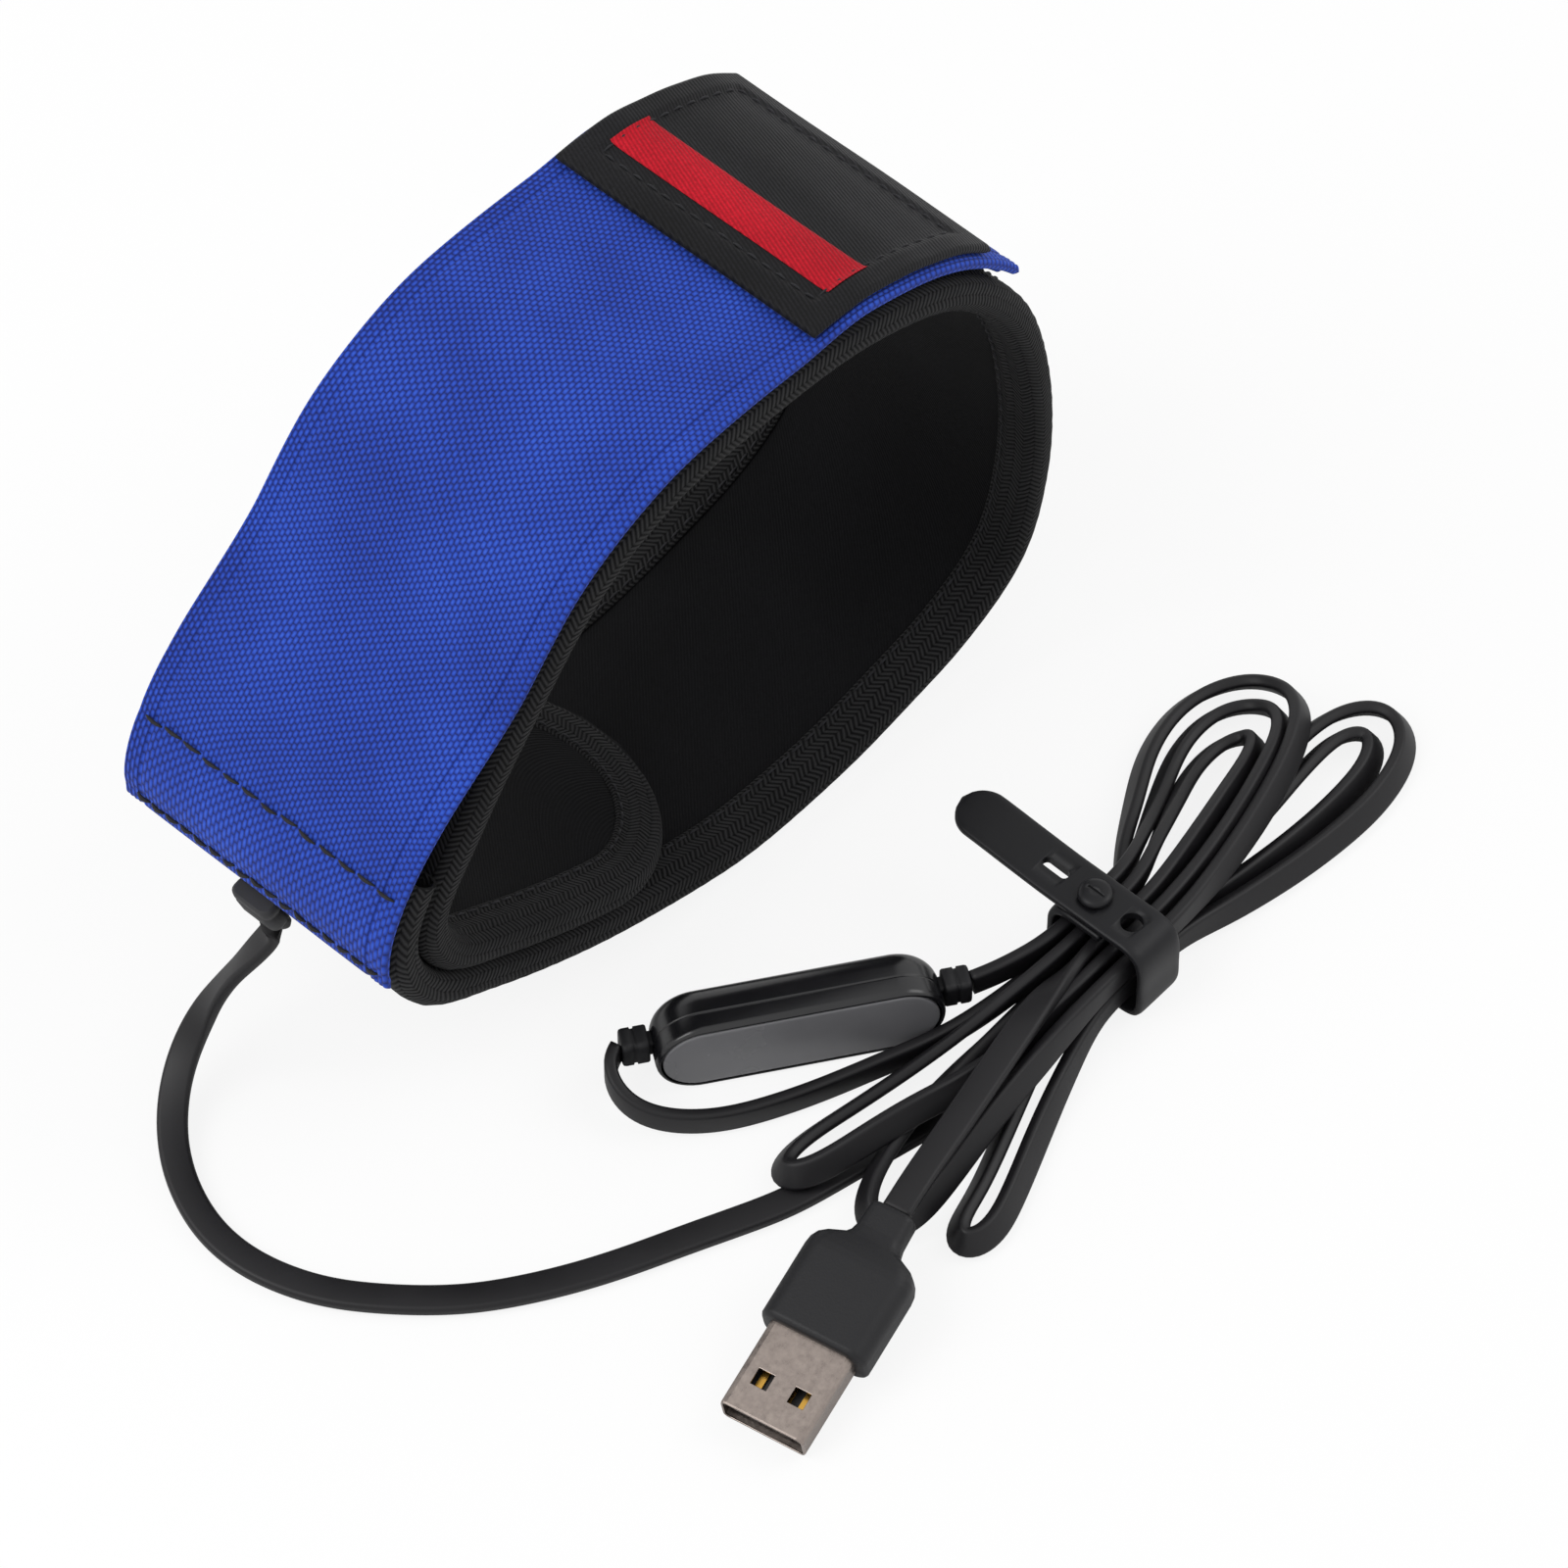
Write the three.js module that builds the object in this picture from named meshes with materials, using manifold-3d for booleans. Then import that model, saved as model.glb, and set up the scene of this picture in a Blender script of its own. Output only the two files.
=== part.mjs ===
// Telescope dew heater strip: a padded heating strip closed into a loop, its elastic strap and
// woven label, and a flat lead with an in-line controller, a tied hank and a plug.
// Millimetres, +Z up. The loop lies on its side with its axis along Y, centred over the origin.

import * as THREE from 'three';
import { mergeVertices } from 'three/addons/utils/BufferGeometryUtils.js';
import Module from 'manifold-3d';

const wasm = await Module();
wasm.setup();

// Clearance between touching pieces
const gap = 0.3;

// Strip: layers from the outside in, and the tape that binds their edges
const stripWidth = 49;
const coverThickness = 0.5;
const foamThickness = 1.6;
const filmThickness = 0.3;
const liningThickness = 0.4;
const bindingThickness = 0.5;
const bindingReach = 6;
const stripStart = -8;
const tongueTip = 71;
const tongueBlend = 42;
const filmInset = 3;

// Elastic strap, its hook patch and its two seams
const strapInset = 0.75;
const strapWidth = stripWidth - 2 * strapInset;
const strapThickness = 1.4;
const strapHem = 3;
const strapReach = 137;
const strapRise = 30;
const hookThickness = 1;
const hookLength = 30;
const hookWidth = 42;
const hookMargin = 2;
const hookBlend = 14;
const seamSize = 0.5;
const seamEdge = 1.5;
const seamSpacing = 7.5;

// Woven label and its stripe
const labelLength = 34;
const labelWidth = strapWidth - 2;
const labelThickness = 0.8;
const labelEdge = 8;
const stripeLength = 6.9;
const stripeWidth = 38.3;
const stripeThickness = 0.25;
const stripeEdge = 21;

// Flat lead
const leadWidth = 4.2;
const leadThickness = 1.8;

// Grommet where the lead leaves the strip
const exitWidth = 7;
const exitThickness = 3.2;
const exitLength = 4;

// In-line controller, standing on its long narrow side
const controllerLength = 40;
const controllerHeight = 13;
const controllerDepth = 8.5;
const controllerWall = 1.2;
const controllerRound = 3.6;
const coverPlate = 1;
const collarLength = 3.8;
const collarHeight = 4.6;
const collarDepth = 4;
const collarNeck = 3;
const boardThickness = 1;

// Plug with a rectangular metal shell
const plugBodyLength = 15.5;
const plugBodyWidth = 16;
const plugBodyThickness = 8;
const plugNeckLength = 6;
const plugNeckWidth = 6.8;
const plugNeckThickness = 4.4;
const plugShellLength = 13;
const plugShellWidth = 12;
const plugShellThickness = 4.5;
const plugShellWall = 0.3;
const plugShellHeld = 5;
const plugWindow = 2.4;
const plugWindowSpacing = 5.6;
const plugWindowFromMouth = 5.2;
const tongueThickness = 1.9;
const contactWidth = 1;
const contactPitch = 2.2;
const contactThickness = 0.2;

// Rubber tie round the hank
const tieWidth = 8;
const tieThickness = 1.3;
const tieTail = 22;
const tieSlotLength = 4.4;
const tieSlotWidth = 1.5;
const tieHole = 3.2;
const studHead = 4.8;
const studHeadHeight = 1;

// Hank: size and place of the tied bundle at its waist
const hankWaist = 13;
const hankHeight = 9.6;
const hankCentre = -72.5;
const tiePlace = 23;

// Middle line of the strip seen along the loop's axis, anticlockwise from the left
const loopLine = new THREE.CatmullRomCurve3([
  [-57.5, 46], [-54.5, 36], [-44, 28], [-26.5, 18], [-8, 10.5], [10, 5.5], [28, 2.9],
  [46, 5.6], [57.5, 13], [62, 27], [61.5, 48], [56, 67], [44, 82], [26, 90.5],
  [6, 93.2], [-12, 92.6], [-26, 86.5], [-39, 73], [-50, 59],
].map(([x, z]) => new THREE.Vector3(x, 0, z)), true, 'centripetal');
loopLine.arcLengthDivisions = 2000;

const loopLength = loopLine.getLength();
const halfStack = (coverThickness + foamThickness + filmThickness + liningThickness + 3 * gap) / 2;
const halfStrip = halfStack + gap + bindingThickness;
const overlapStep = 2 * halfStrip + gap;
const stripEnd = loopLength + tongueTip;

// The loop line is one polygon for every piece, so neighbouring layers bend alike
const loopSides = 64;
const sideLength = loopLength / loopSides;

// The first stretch of the strip lies outside the tongue by one thickness, then joins the loop line
function stripOffset(distance) {
  return overlapStep * (1 - THREE.MathUtils.smoothstep(distance, tongueTip, tongueTip + tongueBlend));
}

// The strap lies on the strip, steps out over its sewn end and over the hook patch
function strapOffset(distance) {
  const onStrip = halfStrip + gap + strapThickness / 2;
  const overEnd = overlapStep * THREE.MathUtils.smoothstep(distance, stripStart - strapRise, stripStart);
  const hookEdge = -strapReach + hookMargin + hookLength;
  const overHook = (hookThickness + gap)
    * (1 - THREE.MathUtils.smoothstep(distance, hookEdge, hookEdge + hookBlend));
  return onStrip + overEnd + overHook;
}

// Place at a corner of the polygon, at a height above the offset line
function cornerPlace(corner, height, offset) {
  const turn = ((corner / loopSides) % 1 + 1) % 1;
  const tangent = loopLine.getTangentAt(turn);
  const normal = new THREE.Vector3(tangent.z, 0, -tangent.x);
  return loopLine.getPointAt(turn).addScaledVector(normal, offset(corner * sideLength) + height);
}

// Turns flat coordinates (distance, across, height above the offset line) into a place on the loop
function bend(distance, across, height, offset) {
  const corner = Math.floor(distance / sideLength + 1e-9);
  const share = distance / sideLength - corner;
  const from = cornerPlace(corner, height, offset);
  return from.lerp(cornerPlace(corner + 1, height, offset), share).setY(across);
}

// Distances from one to another with every corner of the polygon in between
function stations(from, to, extra = []) {
  const corners = [];
  for (let i = Math.ceil(from / sideLength); i * sideLength < to; i++) corners.push(i * sideLength);
  const inner = [...corners, ...extra].filter((d) => d > from + 0.2 && d < to - 0.2).sort((a, b) => a - b);
  return [from, ...inner.filter((d, i) => i === 0 || d - inner[i - 1] > 0.2), to];
}

// Closed body through rings of equally many points; the last cap closes what the first one opens
function loft(rings) {
  const count = rings[0].length;
  const position = rings.flat().flatMap((p) => [p.x, p.y, p.z]);
  const index = [];
  for (let i = 0; i + 1 < rings.length; i++) {
    for (let j = 0; j < count; j++) {
      const a = i * count + j;
      const b = i * count + (j + 1) % count;
      index.push(a, b, a + count, b, b + count, a + count);
    }
  }
  const last = (rings.length - 1) * count;
  for (const [a, b, c] of capTriangles(rings[0])) index.push(a, c, b);
  for (const [a, b, c] of capTriangles(rings.at(-1))) index.push(last + a, last + b, last + c);
  return facingOut(position, index);
}

// Triangles of a flat ring, worked out in its own plane
function capTriangles(ring) {
  const normal = new THREE.Vector3();
  ring.forEach((p, i) => normal.add(new THREE.Vector3().crossVectors(p, ring[(i + 1) % ring.length])));
  const turn = new THREE.Quaternion().setFromUnitVectors(normal.normalize(), new THREE.Vector3(0, 0, 1));
  const flat = ring.map((p) => p.clone().applyQuaternion(turn)).map((p) => new THREE.Vector2(p.x, p.y));
  return THREE.ShapeUtils.triangulateShape(flat, []);
}

// Geometry with its faces turned outwards, whichever way its rings ran
function facingOut(position, index) {
  let volume = 0;
  const corner = (i) => new THREE.Vector3().fromArray(position, 3 * i);
  for (let i = 0; i < index.length; i += 3) {
    volume += corner(index[i]).dot(corner(index[i + 1]).cross(corner(index[i + 2])));
  }
  if (volume < 0) {
    for (let i = 0; i < index.length; i += 3) {
      [index[i + 1], index[i + 2]] = [index[i + 2], index[i + 1]];
    }
  }
  const geometry = new THREE.BufferGeometry();
  geometry.setAttribute('position', new THREE.Float32BufferAttribute(position, 3));
  geometry.setIndex(index);
  geometry.computeVertexNormals();
  return geometry;
}

// Manifold solid of a three.js geometry
function solid(geometry) {
  const bare = geometry.clone();
  bare.deleteAttribute('normal');
  bare.deleteAttribute('uv');
  const merged = mergeVertices(bare, 1e-4);
  return new wasm.Manifold(new wasm.Mesh({
    numProp: 3,
    vertProperties: new Float32Array(merged.attributes.position.array),
    triVerts: new Uint32Array(merged.index.array),
  }));
}

// three.js geometry of a manifold solid
function geometryOf(body) {
  const mesh = body.getMesh();
  const geometry = new THREE.BufferGeometry();
  geometry.setAttribute('position', new THREE.Float32BufferAttribute(mesh.vertProperties, 3));
  geometry.setIndex([...mesh.triVerts]);
  geometry.computeVertexNormals();
  return geometry;
}

function box(sizeX, sizeY, sizeZ, x = 0, y = 0, z = 0) {
  return new THREE.BoxGeometry(sizeX, sizeY, sizeZ).translate(x, y, z);
}

function range(from, to, count) {
  return Array.from({ length: count + 1 }, (_, i) => from + (to - from) * i / count);
}

const part = new THREE.Group();

function addPiece(parent, name, geometry, color, roughness, metalness = 0) {
  const mesh = new THREE.Mesh(geometry, new THREE.MeshStandardMaterial({ color, roughness, metalness }));
  mesh.name = name;
  parent.add(mesh);
  return mesh;
}

// The strip, the strap and what is sewn to them
const loop = new THREE.Group();
part.add(loop);

// Half width of a sheet at a distance, with the round end of the tongue
function sheetHalfWidth(distance, inset) {
  const half = stripWidth / 2 - inset;
  const centre = stripEnd - stripWidth / 2;
  const past = Math.max(0, distance - centre);
  return Math.sqrt(Math.max(0.01, half * half - past * past));
}

// One flat layer of the strip between two heights, its edge inset from the binding's outer edge
function stripLayer(bottom, top, inset) {
  const half = stripWidth / 2 - inset;
  const centre = stripEnd - stripWidth / 2;
  const round = range(0, 80, 8).map((angle) => centre + half * Math.sin(angle * Math.PI / 180));
  return loft(stations(stripStart + inset, round.at(-1), round).map((distance) => {
    const wide = sheetHalfWidth(distance, inset);
    return [[-wide, bottom], [wide, bottom], [wide, top], [-wide, top]]
      .map(([across, height]) => bend(distance, across, height, stripOffset));
  }));
}

const layerInset = bindingThickness + gap;
const coverTop = halfStack;
const foamTop = coverTop - coverThickness - gap;
const filmTop = foamTop - foamThickness - gap;
const liningTop = filmTop - filmThickness - gap;
addPiece(loop, 'outer_cover', stripLayer(coverTop - coverThickness, coverTop, layerInset), 0x1b1b1b, 0.9);
addPiece(loop, 'foam_pad', stripLayer(foamTop - foamThickness, foamTop, layerInset), 0x2a2a2c, 0.95);
addPiece(loop, 'heating_film', stripLayer(filmTop - filmThickness, filmTop, layerInset + filmInset), 0xb5651d, 0.5);
addPiece(loop, 'lining', stripLayer(liningTop - liningThickness, liningTop, layerInset), 0x131315, 0.9);

// Flat path round the strip at an inset from its edge: out along one side, round the tongue and back
function edgePath(inset) {
  const half = stripWidth / 2 - inset;
  const centre = stripEnd - stripWidth / 2;
  const side = stations(stripStart, centre);
  const out = side.map((distance) => ({ distance, across: half, angle: 90 }));
  const round = range(90, -90, 16).slice(1, -1).map((angle) => ({
    distance: centre + half * Math.cos(angle * Math.PI / 180),
    across: half * Math.sin(angle * Math.PI / 180),
    angle,
  }));
  const back = side.toReversed().map((distance) => ({ distance, across: -half, angle: -90 }));
  return [...out, ...round, ...back];
}

// Sweeps a section (outward, height) along a flat path, then bends it onto the loop
function sweepFlat(path, section) {
  return loft(path.map(({ distance, across, angle }) => section.map(([outward, height]) => bend(
    distance + outward * Math.cos(angle * Math.PI / 180),
    across + outward * Math.sin(angle * Math.PI / 180),
    height,
    stripOffset,
  ))));
}

const bindingInner = halfStack + gap;
const bindingSection = [
  [0, -halfStrip], [0, halfStrip], [-bindingReach, halfStrip], [-bindingReach, bindingInner],
  [-bindingThickness, bindingInner], [-bindingThickness, -bindingInner],
  [-bindingReach, -bindingInner], [-bindingReach, -halfStrip],
];
addPiece(loop, 'edge_binding', sweepFlat(edgePath(0), bindingSection), 0x1b1b1b, 0.9);

// The strap and what follows it: a slab between two distances on the strap's own offset line
function strapSlab(from, to, bottom, top, width) {
  return loft(stations(from, to).map((distance) => (
    [[-width / 2, bottom], [width / 2, bottom], [width / 2, top], [-width / 2, top]]
      .map(([across, height]) => bend(distance, across, height, strapOffset))
  )));
}

const strapTop = strapThickness / 2;
const strapEnd = -strapReach;
addPiece(loop, 'elastic_strap',
  strapSlab(strapEnd, strapHem, -strapTop, strapTop, strapWidth), 0x2549bc, 0.85);
addPiece(loop, 'hook_patch', strapSlab(strapEnd + hookMargin, strapEnd + hookMargin + hookLength,
  -strapTop - gap - hookThickness, -strapTop - gap, hookWidth), 0x151517, 0.8);

const labelStart = strapEnd + labelEdge;
const labelBottom = strapTop + gap;
const labelTop = labelBottom + labelThickness;
addPiece(loop, 'woven_label',
  strapSlab(labelStart, labelStart + labelLength, labelBottom, labelTop, labelWidth), 0x161617, 0.85);
const stripeStart = labelStart + stripeEdge;
addPiece(loop, 'label_stripe', strapSlab(stripeStart, stripeStart + stripeLength,
  labelTop + gap, labelTop + gap + stripeThickness, stripeWidth), 0xd5182b, 0.7);

// Rows of thread that hold the strap to the strip's end
[['seam_lower', strapHem - seamEdge], ['seam_upper', strapHem - seamEdge - seamSpacing]]
  .forEach(([name, distance]) => {
    addPiece(loop, name, strapSlab(distance - seamSize / 2, distance + seamSize / 2,
      strapTop + gap, strapTop + gap + seamSize, strapWidth - 2 * seamEdge), 0x101012, 0.8);
  });

// Grommet at the end of the strap's hem
const exitMiddle = strapHem + gap + exitLength / 2;
const exitBottom = stripOffset(exitMiddle) + halfStrip + gap;
addPiece(loop, 'cord_exit', loft(stations(strapHem + gap, strapHem + gap + exitLength).map((distance) => (
  [[-exitWidth / 2, 0], [exitWidth / 2, 0], [exitWidth / 2, exitThickness], [-exitWidth / 2, exitThickness]]
    .map(([across, height]) => bend(distance, across, height, () => exitBottom))
))), 0x1d1d20, 0.7);

// The loop is set down on its lowest point
const loopBox = new THREE.Box3().setFromObject(loop);
loop.position.set(-(loopBox.min.x + loopBox.max.x) / 2, 0, -loopBox.min.z);

// Section of the lead, lying flat or standing on edge, with rounded sides
function leadSection(high, wide) {
  const corner = Math.min(high, wide) * 0.3;
  const [h, w] = [high / 2, wide / 2];
  return new THREE.Shape([
    [h, w - corner], [h - corner, w], [corner - h, w], [-h, w - corner],
    [-h, corner - w], [corner - h, -w], [h - corner, -w], [h, corner - w],
  ].map(([x, y]) => new THREE.Vector2(x, y)));
}

// Lead along hand-chosen points of its middle line
function lead(points, steps, onEdge = false) {
  const extrudePath = new THREE.CatmullRomCurve3(points.map((p) => new THREE.Vector3(...p)), false, 'centripetal');
  const section = onEdge ? leadSection(leadWidth, leadThickness) : leadSection(leadThickness, leadWidth);
  return new THREE.ExtrudeGeometry(section, { steps, extrudePath });
}

// Outline with straight sides and half-round ends, as points in the plane of a controller's wide face
function stadium(length, height, sides = 8) {
  const radius = height / 2;
  const centre = length / 2 - radius;
  const right = range(-90, 90, sides).map((a) => [centre, a]);
  const left = range(90, 270, sides).map((a) => [-centre, a]);
  return [...right, ...left].map(([x, a]) => (
    [x + radius * Math.cos(a * Math.PI / 180), radius * Math.sin(a * Math.PI / 180)]
  ));
}

// The in-line controller: its length along local X, its flat face towards local -Y, its base at z = 0
const controller = new THREE.Group();
controller.position.set(-14.3, -48.7, 0);
controller.rotation.z = -35.3 * Math.PI / 180;
part.add(controller);

const faceY = -controllerDepth / 2;
const middleZ = controllerHeight / 2;

function stadiumRing(inset, y) {
  return stadium(controllerLength - 2 * inset, controllerHeight - 2 * inset)
    .map(([x, z]) => new THREE.Vector3(x, y, middleZ + z));
}

// The shell's outside from the round back to the face, then its seat for the cover and its pocket
const backRings = range(0, 90, 5).map((a) => [
  controllerRound * (1 - Math.sin(a * Math.PI / 180)),
  controllerDepth / 2 - controllerRound * (1 - Math.cos(a * Math.PI / 180)),
]);
const seat = controllerWall / 2;
const shellRings = [
  ...backRings, [0, faceY + 0.5], [0.3, faceY],
  [seat, faceY], [seat, faceY + coverPlate + gap],
  [controllerWall, faceY + coverPlate + gap], [controllerWall, controllerDepth / 2 - 2 * controllerWall],
  [2.2 * controllerWall, controllerDepth / 2 - controllerWall],
].map(([inset, y]) => stadiumRing(inset, y));

function roundBar(diameter, length, x, sides = 16) {
  return new THREE.CylinderGeometry(diameter / 2, diameter / 2, length, sides)
    .rotateZ(Math.PI / 2).translate(x, 0, middleZ);
}

const hole = solid(roundBar(collarNeck + 2 * gap, controllerLength + 10, 0));
addPiece(controller, 'controller_shell', geometryOf(solid(loft(shellRings)).subtract(hole)), 0x151517, 0.25);

const coverInset = seat + gap;
addPiece(controller, 'controller_cover', loft([
  stadiumRing(coverInset, faceY), stadiumRing(coverInset, faceY + coverPlate),
]), 0x6e6e70, 0.2);

// Circuit board, standing behind the cover on its own edge, with a chip and a capacitor
const boardLength = controllerLength - controllerHeight;
const boardHeight = controllerHeight - 2 * controllerWall - 2 * gap;
const boardY = faceY + coverPlate + 2 * gap + boardThickness / 2;
addPiece(controller, 'circuit_board',
  box(boardLength, boardThickness, boardHeight, 0, boardY, middleZ), 0x1f5a33, 0.5);
const chipY = boardY + boardThickness / 2 + gap;
addPiece(controller, 'switching_chip', box(5, 1.5, 4, -6, chipY + 0.75, middleZ), 0x111113, 0.4);
addPiece(controller, 'filter_capacitor', box(3.2, 1.8, 2.5, 4, chipY + 0.9, middleZ + 1), 0x9a7448, 0.5);

// Collars: a block outside, a neck through the shell's end and a stop inside
const endWall = controllerLength / 2;
[['collar_left', -1], ['collar_right', 1]].forEach(([name, side]) => {
  const block = solid(box(collarLength, collarDepth, collarHeight,
    side * (endWall + gap + collarLength / 2), 0, middleZ));
  const neckLength = controllerWall + gap + 2;
  const neck = solid(roundBar(collarNeck, neckLength, side * (endWall + gap + 0.1 - neckLength / 2)));
  const stop = solid(roundBar(collarNeck + 1.4, 1, side * (endWall - controllerWall - gap - 1)));
  addPiece(controller, name, geometryOf(block.add(neck).add(stop)), 0x1a1a1c, 0.6);
});

// The plug: its axis along local X with the mouth at -X, its wide face up, its tail raised on the hank
const plug = new THREE.Group();
plug.position.set(-47.1, -84.2, 6.1);
plug.rotation.order = 'ZYX';
plug.rotation.set(0, -11.5 * Math.PI / 180, 10.9 * Math.PI / 180);
part.add(plug);

const bodyStart = -(plugBodyLength + plugNeckLength - plugShellLength) / 2;
const bodyEnd = bodyStart + plugBodyLength;
const mouthX = bodyStart - plugShellLength;

// Rounded bar along the plug's axis: outline in its wide plane, thickness across
function plugSlab(outline, thickness, bevel) {
  const shape = new THREE.Shape(outline.map(([x, y]) => new THREE.Vector2(x, y)));
  return new THREE.ExtrudeGeometry(shape, {
    depth: thickness - 2 * bevel, bevelEnabled: true, bevelThickness: bevel, bevelSize: bevel,
    bevelOffset: -bevel, bevelSegments: 2,
  }).translate(0, 0, -(thickness - 2 * bevel) / 2);
}

const shoulder = 3;
const bodyHalf = plugBodyWidth / 2;
const bodyOutline = [
  [bodyStart, -bodyHalf], [bodyEnd - shoulder, -bodyHalf], [bodyEnd - shoulder * 0.3, shoulder * 0.3 - bodyHalf],
  [bodyEnd, shoulder - bodyHalf], [bodyEnd, bodyHalf - shoulder],
  [bodyEnd - shoulder * 0.3, bodyHalf - shoulder * 0.3], [bodyEnd - shoulder, bodyHalf], [bodyStart, bodyHalf],
];
const neckHalf = plugNeckWidth / 2;
const neckOutline = [
  [bodyEnd - 2, -neckHalf], [bodyEnd + plugNeckLength, -neckHalf],
  [bodyEnd + plugNeckLength, neckHalf], [bodyEnd - 2, neckHalf],
];
const socket = solid(box(plugShellHeld + gap, plugShellWidth + 2 * gap, plugShellThickness + 2 * gap,
  bodyStart + (plugShellHeld + gap) / 2 - 0.01));
addPiece(plug, 'plug_body', geometryOf(
  solid(plugSlab(bodyOutline, plugBodyThickness, 1.6))
    .add(solid(plugSlab(neckOutline, plugNeckThickness, 0.9)))
    .subtract(socket),
), 0x26262b, 0.6);

const shellLength = plugShellLength + plugShellHeld;
const shellMiddle = mouthX + shellLength / 2;
const window = (side, across) => solid(box(plugWindow, plugWindow, 1,
  mouthX + plugWindowFromMouth, across * plugWindowSpacing / 2, side * plugShellThickness / 2));
let shell = solid(box(shellLength, plugShellWidth, plugShellThickness, shellMiddle))
  .subtract(solid(box(shellLength - 1, plugShellWidth - 2 * plugShellWall, plugShellThickness - 2 * plugShellWall,
    shellMiddle - 1)));
[[1, 1], [1, -1], [-1, 1], [-1, -1]].forEach(([side, across]) => {
  shell = shell.subtract(window(side, across));
});
addPiece(plug, 'plug_shell', geometryOf(shell), 0x9a8f8b, 0.3, 1);

// Insulator under the shell's roof side and the four contacts that lie on it
const tongueLength = shellLength - 4;
const tongueZ = -plugShellThickness / 2 + plugShellWall + gap + tongueThickness / 2;
const tongueX = mouthX + 1 + tongueLength / 2;
addPiece(plug, 'plug_insulator', box(tongueLength, plugShellWidth - 2 * plugShellWall - 2 * gap,
  tongueThickness, tongueX, 0, tongueZ), 0x1a1a1a, 0.6);
range(-1.5, 1.5, 3).forEach((place, i) => {
  addPiece(plug, `plug_contact_${i + 1}`, box(tongueLength - 3, contactWidth, contactThickness,
    tongueX + 1, place * contactPitch, tongueZ + (tongueThickness + contactThickness) / 2 + gap),
  0xd4a94a, 0.3, 1);
});

// Outer shape of the hank: two lobes of loose turns with a waist in the tie
const waistNear = hankCentre - hankWaist / 2;
const waistFar = hankCentre + hankWaist / 2;
const hankOutline = [
  [-33, -61.5], [-33.5, -64.5], [-27.5, -73], [-25.8, -84], [-24.5, -89], [-20.5, -89.5], [-10, -84],
  [5, -80], [tiePlace - 6, waistNear], [tiePlace + 6, waistNear], [44, -81.5], [62, -84.5], [77, -82],
  [83.5, -77], [80, -70], [75, -61], [70, -52], [60, -50], [49, -54.5], [38, -61.5],
  [tiePlace + 6, waistFar], [tiePlace - 6, waistFar], [9, -66.6], [-3, -66], [-12, -62], [-24, -60],
].map(([x, y]) => new THREE.Vector2(x, y));
const hankBase = tieThickness + 2 * gap;
const hankRound = 2.2;
addPiece(part, 'cord_hank', new THREE.ExtrudeGeometry(new THREE.Shape(hankOutline), {
  depth: hankHeight - 2 * hankRound, bevelEnabled: true, bevelThickness: hankRound,
  bevelSize: hankRound, bevelOffset: -hankRound, bevelSegments: 3,
}).translate(0, 0, hankBase + hankRound), 0x222024, 0.6);

// The tie: a band wound round the waist, its tail lying over its own end and reaching past it
const tieFar = waistFar + gap + tieThickness / 2;
const tieNear = waistNear - gap - tieThickness / 2;
const tieLow = gap + tieThickness / 2;
const tieHigh = hankBase + hankHeight + gap + tieThickness / 2;
const tieOver = tieHigh + tieThickness + gap;
const innerEnd = hankCentre - 1;
const tieLine = [
  [innerEnd, tieHigh], [tieFar - 2.2, tieHigh], [tieFar - 0.6, tieHigh - 0.7], [tieFar, tieHigh - 2.2],
  [tieFar, tieLow + 2.2], [tieFar - 0.6, tieLow + 0.7], [tieFar - 2.2, tieLow],
  [tieNear + 1.2, tieLow], [tieNear - 0.4, tieLow + 0.7], [tieNear - 1, tieLow + 2.2],
  [tieNear - 1, tieOver - 2.4], [tieNear - 0.4, tieOver - 0.8], [tieNear + 1.2, tieOver],
  [tieFar + 2, tieOver], [tieFar + tieTail - 5, tieOver + 0.6],
];

// Band of even thickness along a line of (y, z) points, as wide as the tie
function band(line, thickness, width) {
  const side = (sign) => line.map(([y, z], i) => {
    const [y0, z0] = line[Math.max(0, i - 1)];
    const [y1, z1] = line[Math.min(line.length - 1, i + 1)];
    const long = Math.hypot(y1 - y0, z1 - z0);
    const reach = sign * thickness / 2;
    return new THREE.Vector2(y - reach * (z1 - z0) / long, z + reach * (y1 - y0) / long);
  });
  const shape = new THREE.Shape([...side(1), ...side(-1).toReversed()]);
  return new THREE.ExtrudeGeometry(shape, { depth: width, bevelEnabled: false })
    .rotateX(Math.PI / 2).rotateZ(Math.PI / 2).translate(-width / 2, 0, 0);
}

const tie = new THREE.Group();
tie.position.set(tiePlace, 0, 0);
part.add(tie);

function upright(diameter, length, y, z, sides = 20) {
  return new THREE.CylinderGeometry(diameter / 2, diameter / 2, length, sides)
    .rotateX(Math.PI / 2).translate(0, y, z);
}

const studY = hankCentre + 3;
const tieEnd = tieFar + tieTail - 5;
const roundTip = solid(upright(tieWidth, tieThickness, tieEnd, tieOver + 0.6, 24));
const slotY = studY + 7;
const slot = solid(box(tieSlotWidth, tieSlotLength, 6, 0, slotY, tieOver));
const pinHole = solid(upright(tieHole, 6, studY, tieOver));
const spareHole = solid(upright(tieHole, 6, studY - 6.5, tieOver));
const cutTop = solid(box(tieWidth + 2, 60, 10, 0, hankCentre, tieOver - tieThickness / 2 + 5));
const holes = pinHole.add(spareHole).add(slot).intersect(cutTop);
addPiece(tie, 'cable_tie', geometryOf(
  solid(band(tieLine, tieThickness, tieWidth)).add(roundTip).subtract(holes),
), 0x1d1d20, 0.55);

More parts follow.
